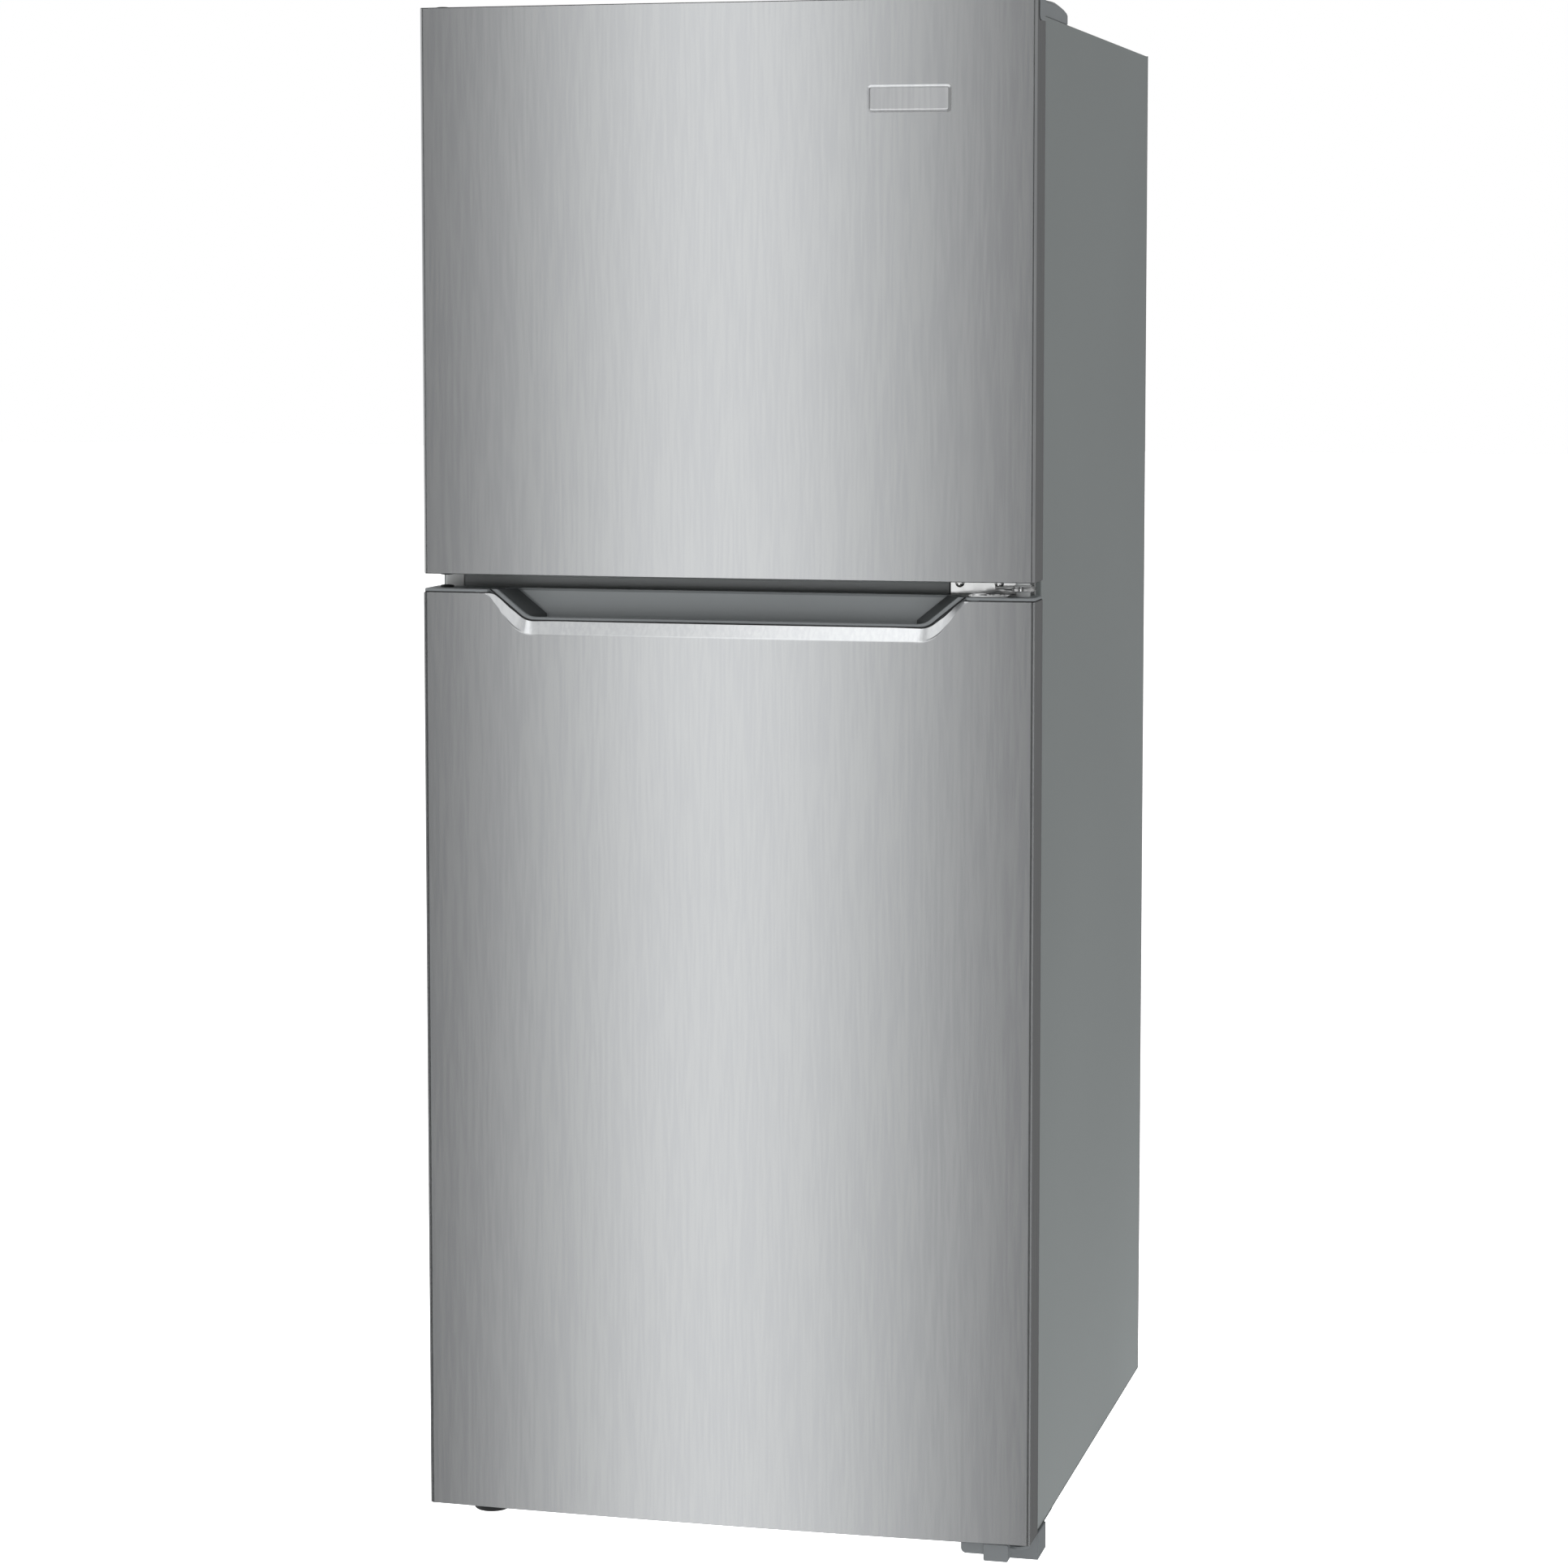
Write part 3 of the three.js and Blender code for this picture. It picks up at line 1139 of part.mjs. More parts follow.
refrigerator.add(
  node("control_housing", controlHousing(), whitePlastic),
  node("lamp_lens", lampLens(), lampPlastic),
  node("temperature_knob", temperatureKnob(), coverPlastic, [KNOB.x, CONTROL.y[0], KNOB.z]),
  node("switch_button", switchButton(), whitePlastic),
  node("air_duct", airDuct(), whitePlastic),
  node("crisper_cover", crisperCover(), clearPlastic),
  node("crisper_drawer", crisperDrawer(), clearPlastic),
);

for (const [level, z] of Object.entries(SHELF_HEIGHTS)) {
  refrigerator.add(
    node(`${level}_shelf_frame`, shelfFrame(z), whitePlastic),
    node(`${level}_shelf_glass`, shelfPane(z), shelfGlass),
  );
}

refrigerator.add(compressorBay(), freezerDoor(), fridgeDoor());

export default refrigerator;
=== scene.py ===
"""Looks of a top freezer refrigerator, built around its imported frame.

Each sub-assembly is a class that makes its pieces and dresses them, and each finish is a frozen
dataclass that builds one material. Sizes are in metres, in the frame's own axes: +Z up, doors facing
-Y, hinges at +X.
"""

from __future__ import annotations

import functools
import json
import logging
import math
from dataclasses import dataclass
from enum import Enum
from typing import Callable, Sequence, Union

import bmesh
import bpy
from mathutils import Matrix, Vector

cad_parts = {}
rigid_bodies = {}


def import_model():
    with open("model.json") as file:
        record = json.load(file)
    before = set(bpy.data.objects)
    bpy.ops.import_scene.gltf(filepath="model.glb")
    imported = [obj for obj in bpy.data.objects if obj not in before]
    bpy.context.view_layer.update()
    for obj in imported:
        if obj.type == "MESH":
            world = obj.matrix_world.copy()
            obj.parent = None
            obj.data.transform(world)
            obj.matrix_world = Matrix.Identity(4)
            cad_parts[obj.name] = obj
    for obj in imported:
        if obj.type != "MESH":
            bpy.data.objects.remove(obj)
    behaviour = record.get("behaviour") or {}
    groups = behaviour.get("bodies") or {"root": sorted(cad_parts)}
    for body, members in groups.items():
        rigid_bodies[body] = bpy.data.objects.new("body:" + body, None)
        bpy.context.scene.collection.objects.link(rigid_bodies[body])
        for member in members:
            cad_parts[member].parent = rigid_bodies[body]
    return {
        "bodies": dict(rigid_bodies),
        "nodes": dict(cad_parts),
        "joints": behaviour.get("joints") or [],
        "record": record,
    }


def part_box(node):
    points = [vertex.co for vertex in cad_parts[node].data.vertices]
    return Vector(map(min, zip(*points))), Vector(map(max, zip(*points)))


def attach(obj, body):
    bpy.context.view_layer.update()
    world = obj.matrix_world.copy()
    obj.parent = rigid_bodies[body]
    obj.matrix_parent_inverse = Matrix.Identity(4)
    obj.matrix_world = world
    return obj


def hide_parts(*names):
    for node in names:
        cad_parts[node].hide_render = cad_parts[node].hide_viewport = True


LOG = logging.getLogger("refrigerator")
MM = 0.001

Number = Union[int, float]
Point = tuple[float, float, float]
Outline = list[tuple[float, float]]


# ---------------------------------------------------------------- shader expressions


class Signal:
    """A shader socket that can be used in Python arithmetic."""

    def __init__(self, maker: "NodeMaker", socket: bpy.types.NodeSocket) -> None:
        """Wrap one output socket of a node in the maker's tree."""
        self.maker = maker
        self.socket = socket

    def _math(self, operation: str, *values: Union["Signal", Number]) -> "Signal":
        """Add one Math node whose inputs are the given values."""
        return self.maker.add("ShaderNodeMath", {"operation": operation}, dict(enumerate(values)))

    def __add__(self, other: Union["Signal", Number]) -> "Signal":
        """Sum of both values."""
        return self._math("ADD", self, other)

    __radd__ = __add__

    def __sub__(self, other: Union["Signal", Number]) -> "Signal":
        """This value less the other."""
        return self._math("SUBTRACT", self, other)

    def __rsub__(self, other: Number) -> "Signal":
        """The other value less this one."""
        return self._math("SUBTRACT", other, self)

    def __mul__(self, other: Union["Signal", Number]) -> "Signal":
        """Product of both values."""
        return self._math("MULTIPLY", self, other)

    __rmul__ = __mul__

    def __truediv__(self, other: Union["Signal", Number]) -> "Signal":
        """This value over the other."""
        return self._math("DIVIDE", self, other)

    def between(self, low: Number, high: Number) -> "Signal":
        """Rise smoothly from 0 at low to 1 at high.

        Args:
            low: Value that gives 0.
            high: Value that gives 1; it may be lower than low.

        Returns:
            The smoothed and clamped share.
        """
        settings = {"interpolation_type": "SMOOTHSTEP"}
        values = {"Value": self, "From Min": low, "From Max": high, "To Min": 0.0, "To Max": 1.0}
        return self.maker.add("ShaderNodeMapRange", settings, values)


Value = Union[Signal, Number, Sequence[float]]


class NodeMaker:
    """Adds nodes to one material's tree."""

    def __init__(self, name: str) -> None:
        """Start a material with a Principled shader and the object's own coordinates."""
        self.material = bpy.data.materials.new(name)
        self.material.use_nodes = True
        self.tree = self.material.node_tree
        self.shader = self.tree.nodes["Principled BSDF"]
        coordinates = self.tree.nodes.new("ShaderNodeTexCoord")
        self.place = Signal(self, coordinates.outputs["Object"])

    def add(
        self, kind: str, settings: dict[str, object], values: dict[Union[int, str], Value],
        output: Union[int, str] = 0
    ) -> Signal:
        """Add any node.

        Args:
            kind: The node's type.
            settings: Properties that are set before its sockets are filled.
            values: A value or a signal for each input, by name or index.
            output: The output that is returned.

        Returns:
            The chosen output.
        """
        node = self.tree.nodes.new(kind)
        for key, value in settings.items():
            setattr(node, key, value)
        for key, value in values.items():
            self.feed(node.inputs[key], value)
        return Signal(self, node.outputs[output])

    def feed(self, socket: bpy.types.NodeSocket, value: Value) -> None:
        """Link a signal to a socket, or set the socket to a plain value."""
        if isinstance(value, Signal):
            self.tree.links.new(value.socket, socket)
        elif isinstance(value, (int, float)):
            socket.default_value = value if socket.type == "VALUE" else (value,) * 3
        else:
            size = len(socket.default_value)
            socket.default_value = tuple(value)[:size] + (1.0,) * (size - len(value))

    def principled(self, **values: Value) -> None:
        """Fill sockets of the Principled shader; underscores stand for spaces."""
        for key, value in values.items():
            self.feed(self.shader.inputs[key.replace("_", " ").title().replace("Ior", "IOR")], value)

    def stretched(self, scale: Sequence[float]) -> Signal:
        """The object's coordinates multiplied by a scale for each axis."""
        return self.add("ShaderNodeMapping", {}, {"Vector": self.place, "Scale": scale})

    def axis(self, letter: str) -> Signal:
        """One of the object's coordinates, in metres."""
        return self.add("ShaderNodeSeparateXYZ", {}, {"Vector": self.place}, letter)

    def noise(
        self, scale: Value, size: Number = 1.0, detail: Number = 3.0, roughness: Number = 0.5
    ) -> Signal:
        """Noise from 0 to 1 in the object's coordinates.

        Args:
            scale: How many patches there are in a metre, for each axis.
            size: A further multiplier of the scale.
            detail: How many octaves it has.
            roughness: How strong the fine octaves are.

        Returns:
            The noise's factor.
        """
        values = {"Vector": self.stretched(scale), "Scale": size, "Detail": detail, "Roughness": roughness}
        return self.add("ShaderNodeTexNoise", {}, values, "Fac")

    def mix(self, factor: Value, first: Value, second: Value) -> Signal:
        """Mix two colours."""
        settings = {"data_type": "RGBA", "blend_type": "MIX"}
        return self.add("ShaderNodeMix", settings, {0: factor, 6: first, 7: second}, 2)

    def bump(self, height: Signal, distance: Number, strength: Number = 1.0) -> None:
        """Send a height to the shader's normal."""
        values = {"Height": height, "Distance": distance, "Strength": strength}
        self.principled(normal=self.add("ShaderNodeBump", {}, values))


def shade(hex_colour: int, gain: float = 1.0) -> tuple[float, float, float]:
    """Turn a display colour such as 0x808080 into the linear values that shaders use.

    Args:
        hex_colour: Red, green and blue, a byte each.
        gain: Multiplier of the linear values.

    Returns:
        Linear red, green and blue.
    """
    parts = [(hex_colour >> shift & 255) / 255 for shift in (16, 8, 0)]
    return tuple(gain * (c / 12.92 if c <= 0.04045 else ((c + 0.055) / 1.055) ** 2.4) for c in parts)


# ---------------------------------------------------------------- finishes


@dataclass(frozen=True)
class BrushedSteel:
    """Stainless steel with a fine upright grain."""

    name: str = "brushed_steel"
    light: int = 0xD6D8D9
    dark: int = 0xD0D2D4
    roughness: float = 0.22

    def build(self) -> bpy.types.Material:
        """Make the material: upright streaks in colour and gloss, with a faint cloud over them."""
        maker = NodeMaker(self.name)
        fine = maker.noise((330.0, 330.0, 18.0), detail=1.0)
        broad = maker.noise((110.0, 110.0, 5.0), detail=2.0)
        cloud = maker.noise((2.0, 2.0, 1.5), detail=2.0)
        streaks = (fine * 0.6 + broad * 0.4).between(0.36, 0.64)
        maker.principled(
            base_color=maker.mix(streaks, shade(self.dark), shade(self.light)), metallic=1.0,
            roughness=streaks * 0.004 + cloud * 0.03 + (self.roughness - 0.017)
        )
        return maker.material


@dataclass(frozen=True)
class SatinPaint:
    """Stoved paint on sheet steel, with a trace of orange peel."""

    name: str
    colour: int
    roughness: float = 0.42
    metallic: float = 0.0
    peel: float = 0.00012

    def build(self) -> bpy.types.Material:
        """Make the material: faint clouding and a fine peel."""
        maker = NodeMaker(self.name)
        cloud = maker.noise((3.0, 3.0, 2.0), detail=3.0)
        peel = maker.noise((420.0, 420.0, 420.0), detail=2.0)
        maker.principled(
            base_color=maker.mix(cloud, shade(self.colour, 0.94), shade(self.colour, 1.06)),
            metallic=self.metallic, roughness=cloud * 0.08 + (self.roughness - 0.04)
        )
        maker.bump(peel, self.peel, 0.5)
        return maker.material


@dataclass(frozen=True)
class Moulding:
    """Injection moulded plastic with a spark eroded grain."""

    name: str
    colour: int
    roughness: float = 0.5
    grain: float = 900.0
    depth: float = 0.0001

    def build(self) -> bpy.types.Material:
        """Make the material: an even colour with faint flow marks and a fine grain."""
        maker = NodeMaker(self.name)
        flow = maker.noise((9.0, 30.0, 14.0), detail=2.0)
        grain = maker.noise((self.grain,) * 3, detail=2.0)
        maker.principled(
            base_color=maker.mix(flow, shade(self.colour, 0.95), shade(self.colour, 1.05)),
            roughness=grain * 0.12 + (self.roughness - 0.06)
        )
        maker.bump(grain, self.depth, 0.4)
        return maker.material


@dataclass(frozen=True)
class ZincPlate:
    """Bright zinc on pressed steel, with a faint bluish bloom."""

    name: str = "zinc_plate"
    colour: int = 0xC9CCCF
    metallic: float = 0.85
    roughness: float = 0.22

    def build(self) -> bpy.types.Material:
        """Make the material: spangled patches that change both colour and gloss."""
        maker = NodeMaker(self.name)
        spangle = maker.add(
            "ShaderNodeTexVoronoi", {"feature": "F1"}, {"Vector": maker.place, "Scale": 160.0}, "Color"
        )
        patch = maker.add("ShaderNodeSeparateColor", {}, {"Color": spangle}, 0)
        wear = maker.noise((60.0, 60.0, 60.0), detail=4.0)
        maker.principled(
            base_color=maker.mix(patch, shade(self.colour, 0.93), shade(self.colour)),
            metallic=self.metallic, roughness=patch * 0.08 + wear * 0.14 + self.roughness
        )
        maker.bump(wear, 0.00004, 0.2)
        return maker.material


@dataclass(frozen=True)
class DrawnMetal:
    """Bare tube or fin stock, with a thin film of oxide."""

    name: str
    colour: int
    tarnish: int
    roughness: float = 0.3

    def build(self) -> bpy.types.Material:
        """Make the material: bright metal that dulls in patches."""
        maker = NodeMaker(self.name)
        patch = maker.noise((35.0, 35.0, 35.0), detail=5.0).between(0.42, 0.68)
        maker.principled(
            base_color=maker.mix(patch, shade(self.colour), shade(self.tarnish)), metallic=1.0,
            roughness=patch * 0.2 + self.roughness
        )
        return maker.material


@dataclass(frozen=True)
class SoftRubber:
    """Extruded gasket with a matt skin."""

    name: str = "gasket_rubber"
    colour: int = 0xD4D5D3

    def build(self) -> bpy.types.Material:
        """Make the material: matt, with slight greying and a fine skin."""
        maker = NodeMaker(self.name)
        grey = maker.noise((14.0, 14.0, 14.0), detail=4.0)
        skin = maker.noise((700.0, 700.0, 700.0), detail=2.0)
        maker.principled(
            base_color=maker.mix(grey, shade(self.colour, 0.88), shade(self.colour)),
            roughness=skin * 0.1 + 0.6
        )
        maker.bump(skin, 0.0001, 0.3)
        return maker.material


@dataclass(frozen=True)
class ClearMoulding:
    """Clear plastic or glass, with a faint tint."""

    name: str
    tint: int = 0xEAF3F5
    alpha: float = 0.28
    roughness: float = 0.06

    def build(self) -> bpy.types.Material:
        """Make the material: a thin clear sheet, with light scuffs in its gloss."""
        maker = NodeMaker(self.name)
        scuff = maker.noise((12.0, 12.0, 9.0), detail=3.0).between(0.4, 0.8)
        maker.principled(
            base_color=shade(self.tint), roughness=scuff * 0.05 + self.roughness,
            alpha=scuff * 0.015 + self.alpha, coat_weight=0.4, coat_roughness=0.05
        )
        return maker.material


@dataclass(frozen=True)
class RigidFoam:
    """Cut face of foamed insulation."""

    name: str = "rigid_foam"
    colour: int = 0xE5D6A0

    def build(self) -> bpy.types.Material:
        """Make the material: open cells in height and colour."""
        maker = NodeMaker(self.name)
        cells = maker.add("ShaderNodeTexVoronoi", {}, {"Vector": maker.place, "Scale": 900.0}, "Distance")
        maker.principled(
            base_color=maker.mix(cells, shade(self.colour), shade(self.colour, 0.7)), roughness=0.95
        )
        maker.bump(cells, 0.0004, 0.6)
        return maker.material


class Finish(Enum):
    """Every finish on the refrigerator."""

    DOOR_STEEL = BrushedSteel()
    CABINET_PAINT = SatinPaint("cabinet_paint", 0x7C8181, 0.4)
    HINGE_PAINT = SatinPaint("hinge_paint", 0x64686A, 0.45)
    BADGE_STEEL = BrushedSteel("badge_steel", 0xECEEEF, 0xE2E4E6, 0.3)
    CAP_PLASTIC = Moulding("cap_plastic", 0x4A4D4E)
    # Pocket plastic: a lighter grey than the cap plastic whose slot it shares, painted light for the shade
    # inside the pocket.
    POCKET_PLASTIC = Moulding("pocket_plastic", 0xA0A5A7, 0.45)
    COVER_PLASTIC = Moulding("cover_plastic", 0x7C8082, 0.45)
    WHITE_PLASTIC = Moulding("white_plastic", 0xF0F1EF, 0.3, depth=0.00004)
    WHITE_WIRE = SatinPaint("white_wire", 0xEEEFED, 0.35)
    BLACK_PLASTIC = Moulding("black_plastic", 0x1D1E1F, 0.55)
    BLACK_PAINT = SatinPaint("black_paint", 0x17181A, 0.35)
    BUSH_PLASTIC = Moulding("bush_plastic", 0xE4E6E6, 0.4)
    ZINC_PLATE = ZincPlate()
    # Hinge zinc: near white, well past the zinc plate whose slot it shares, painted light for the shade
    # between the doors; its high gloss mirrors the room's light.
    HINGE_ZINC = ZincPlate("hinge_zinc", 0xF6F7F7, 0.9, 0.06)
    # Rail paint: a lighter grey than the cap plastic whose slot it shares, painted light for the shade under
    # the freezer door.
    RAIL_PAINT = SatinPaint("rail_paint", 0xA2A6A7, 0.38)
    BACK_SHEET = SatinPaint("back_sheet", 0x9EA2A3, 0.5, 0.5)
    COPPER_TUBE = DrawnMetal("copper_tube", 0xC87A4A, 0x7B4A2E)
    COIL_ALUMINIUM = DrawnMetal("coil_aluminium", 0xD0D3D5, 0xA8ACAF, 0.28)
    GASKET_RUBBER = SoftRubber()
    CLEAR_PLASTIC = ClearMoulding("clear_plastic")
    SHELF_GLASS = ClearMoulding("shelf_glass", 0xCFEADF, 0.22, 0.02)
    LAMP_PLASTIC = Moulding("lamp_plastic", 0xFBF9F0, 0.3)
    FOAM_FILL = RigidFoam()

    @property
    def slot(self) -> str:
        """Name of the record's material slot for this finish."""
        shared = {
            "BADGE_STEEL": "door_steel", "POCKET_PLASTIC": "cap_plastic", "BUSH_PLASTIC": "white_plastic",
            "RAIL_PAINT": "cap_plastic", "BACK_SHEET": "cabinet_paint", "HINGE_ZINC": "zinc_plate"
        }
        return shared.get(self.name, self.name.lower())

    @functools.cache
    def material(self) -> bpy.types.Material:
        """Return this finish's material, building it the first time."""
        return self.value.build()


# ---------------------------------------------------------------- mesh work


def filleted(
    points: Outline, radius: float | Sequence[float], steps: int = 6, closed: bool = True
) -> Outline:
    """Round the corners of an outline.

    Args:
        points: Corners in order.
        radius: Radius of every rounding, or one for each corner; less where a side is too short for it.
        steps: Straight pieces in each rounding.
        closed: Whether the last point joins the first; the ends of an open outline stay sharp.

    Returns:
        The rounded outline.
    """
    result: Outline = []
    radii = [radius] * len(points) if isinstance(radius, (int, float)) else list(radius)
    for i, corner in enumerate(points):
        if not closed and i in (0, len(points) - 1):
            result.append(corner)
            continue
        here = Vector(corner)
        before, after = Vector(points[i - 1]) - here, Vector(points[(i + 1) % len(points)]) - here
        half = before.angle(after) / 2
        reach = min(radii[i] / math.tan(half), before.length * 0.49, after.length * 0.49)
        middle = here + (before.normalized() + after.normalized()).normalized() * (reach / math.cos(half))
        first, last = here + before.normalized() * reach - middle, here + after.normalized() * reach - middle
        for step in range(steps + 1):
            spoke = first.lerp(last, step / steps).normalized() * first.length
            result.append(tuple(middle + spoke))
    return result


def rectangle(low: tuple[float, float], high: tuple[float, float]) -> Outline:
    """Corners of a rectangle, in order."""
    return [(low[0], low[1]), (high[0], low[1]), (high[0], high[1]), (low[0], high[1])]


def stepped(origin: tuple[float, float], steps: Sequence[tuple[float, float]]) -> Outline:
    """Places at steps in millimetres from an origin."""
    return [(origin[0] + u * MM, origin[1] + v * MM) for u, v in steps]


def corners_of(node: str) -> tuple[Vector, Vector]:
    """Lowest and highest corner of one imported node."""
    low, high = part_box(node)
    return Vector(low), Vector(high)


def placed(u: float, v: float, w: float, axis: str) -> Point:
    """Turn a point of a flat outline, and its height along an axis, into a place."""
    return {"x": (w, u, v), "y": (u, w, v), "z": (u, v, w)}[axis]


class Workpiece:
    """A mesh in the making, in the frame's own axes."""

    def __init__(self) -> None:
        """Start with nothing."""
        self.mesh = bmesh.new()

    def loft(
        self, rings: Sequence[Sequence[Point]], closed: bool = True, capped: bool = True
    ) -> "Workpiece":
        """Join rings of points with a skin.

        Args:
            rings: Rings with equally many points.
            closed: Whether each ring's last point joins its first.
            capped: Whether the first and last ring get a face.

        Returns:
            This workpiece.
        """
        rows = [[self.mesh.verts.new(point) for point in ring] for ring in rings]
        for low, high in zip(rows, rows[1:]):
            for i in range(len(low) if closed else len(low) - 1):
                j = (i + 1) % len(low)
                self.mesh.faces.new((low[i], low[j], high[j], high[i]))
        if closed and capped:
            for row in (rows[0], rows[-1]):
                if (row[0].co - row[len(row) // 2].co).length > 1e-6:
                    self.mesh.faces.new(row)
        return self

    def prism(self, outline: Outline, span: Sequence[float], axis: str = "z") -> "Workpiece":
        """Add a closed outline extruded along an axis from one height to another."""
        return self.loft([[placed(u, v, w, axis) for u, v in outline] for w in span])

    def block(self, low: Sequence[float], high: Sequence[float]) -> "Workpiece":
        """Add a box between two corners."""
        return self.prism(rectangle((low[0], low[1]), (high[0], high[1])), (low[2], high[2]))

    def turned(
        self, profile: Outline, centre: tuple[float, float], axis: str = "z", steps: int = 32,
        closed: bool = False
    ) -> "Workpiece":
        """Add a turned shape.

        Args:
            profile: Radius and height of each point, from one end of the axis to the other.
            centre: Where the axis is, in the plane across it.
            axis: The axis that it turns about.
            steps: Sides of the round.
            closed: Whether the profile closes on itself, as a ring's does.

        Returns:
            This workpiece.
        """
        angles = [math.tau * i / steps for i in range(steps)]
        rings = [
            [placed(centre[0] + r * math.cos(a), centre[1] + r * math.sin(a), h, axis) for a in angles]
            for r, h in profile
        ]
        return self.loft(rings + rings[:1] if closed else rings, capped=not closed)

    def tube(
        self, path: Sequence[Point], radius: float, sides: int = 10, looped: bool = False
    ) -> "Workpiece":
        """Add a round tube along a path.

        Args:
            path: Points along its middle.
            radius: Its radius.
            sides: Sides of the round.
            looped: Whether the path's end joins its start.

        Returns:
            This workpiece.
        """
        points = [Vector(point) for point in path]
        rings = []
        side = None
        for i, point in enumerate(points):
            after = points[(i + 1) % len(points)] if looped or i + 1 < len(points) else point
            before = points[i - 1] if looped or i > 0 else point
            along = (after - before).normalized()
            start = side or (Vector((0, 0, 1)) if abs(along.z) < 0.9 else Vector((1, 0, 0)))
            side = (start - along * start.dot(along)).normalized()
            other = along.cross(side)
            turns = [math.tau * k / sides for k in range(sides)]
            rings.append([tuple(point + radius * (side * math.cos(a) + other * math.sin(a))) for a in turns])
        return self.loft(rings + rings[:1] if looped else rings, capped=not looped)

    def thicken(self, wall: float, towards: Point) -> "Workpiece":
        """Give an open surface a wall behind its faces.

        Args:
            wall: Thickness of the wall.
            towards: The direction that its faces look in, on the whole.

        Returns:
            This workpiece.
        """
        bmesh.ops.remove_doubles(self.mesh, verts=self.mesh.verts, dist=1e-6)
        self.mesh.normal_update()
        facing = sum((face.normal * face.calc_area() for face in self.mesh.faces), Vector())
        if facing.dot(Vector(towards)) < 0:
            bmesh.ops.reverse_faces(self.mesh, faces=self.mesh.faces)
            self.mesh.normal_update()
        rims = [edge.link_loops[0] for edge in self.mesh.edges if edge.is_boundary]
        sides = [(loop.vert, loop.link_loop_next.vert) for loop in rims]
        faces = [list(face.verts) for face in self.mesh.faces]
        behind = {vert: self.mesh.verts.new(vert.co - vert.normal * wall) for vert in list(self.mesh.verts)}
        for verts in faces:
            self.mesh.faces.new([behind[vert] for vert in reversed(verts)])
        for first, second in sides:
            self.mesh.faces.new((second, first, behind[first], behind[second]))
        return self

    def copied(self, node: bpy.types.Object, flat: float = 0.4) -> "Workpiece":
        """Add a merged copy of a node, with its flat faces whole.

        Args:
            node: The node.
            flat: Faces whose directions differ by less than this, in degrees, become one.

        Returns:
            This workpiece.
        """
        self.mesh.from_mesh(node.data)
        bmesh.ops.remove_doubles(self.mesh, verts=self.mesh.verts, dist=2e-6)
        bmesh.ops.dissolve_degenerate(self.mesh, edges=self.mesh.edges, dist=1e-6)
        bmesh.ops.dissolve_limit(
            self.mesh, angle_limit=math.radians(flat), verts=self.mesh.verts, edges=self.mesh.edges
        )
        return self

    def piece(
        self, name: str, finish: Finish, body: str, replaces: Sequence[str] = (), bevel: float = 0.0,
        segments: int = 2, sharp: float = 35.0
    ) -> bpy.types.Object:
        """Finish the mesh as a piece that rides on a body.

        Args:
            name: The piece's name.
            finish: What it is made of.
            body: The body it moves with.
            replaces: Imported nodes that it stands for.
            bevel: Width of the rounding along its sharp edges.
            segments: Steps in that rounding.
            sharp: Angle from which an edge counts as sharp, in degrees.

        Returns:
            The piece.
        """
        bmesh.ops.remove_doubles(self.mesh, verts=self.mesh.verts, dist=1e-6)
        bmesh.ops.recalc_face_normals(self.mesh, faces=self.mesh.faces)
        data = bpy.data.meshes.new(name)
        self.mesh.to_mesh(data)
        self.mesh.free()
        data.shade_smooth()
        data.set_sharp_from_angle(angle=math.radians(sharp))
        data.materials.append(finish.material())
        piece = bpy.data.objects.new(name, data)
        bpy.context.scene.collection.objects.link(piece)
        if bevel:
            edges = piece.modifiers.new("edges", "BEVEL")
            edges.width, edges.segments = bevel, segments
            edges.limit_method, edges.angle_limit = "ANGLE", math.radians(sharp)
            edges.use_clamp_overlap = False
            edges.harden_normals = True
        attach(piece, body)
        if replaces:
            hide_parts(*replaces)
        LOG.info("%s rides on %s", name, body)
        return piece


# ---------------------------------------------------------------- patterns


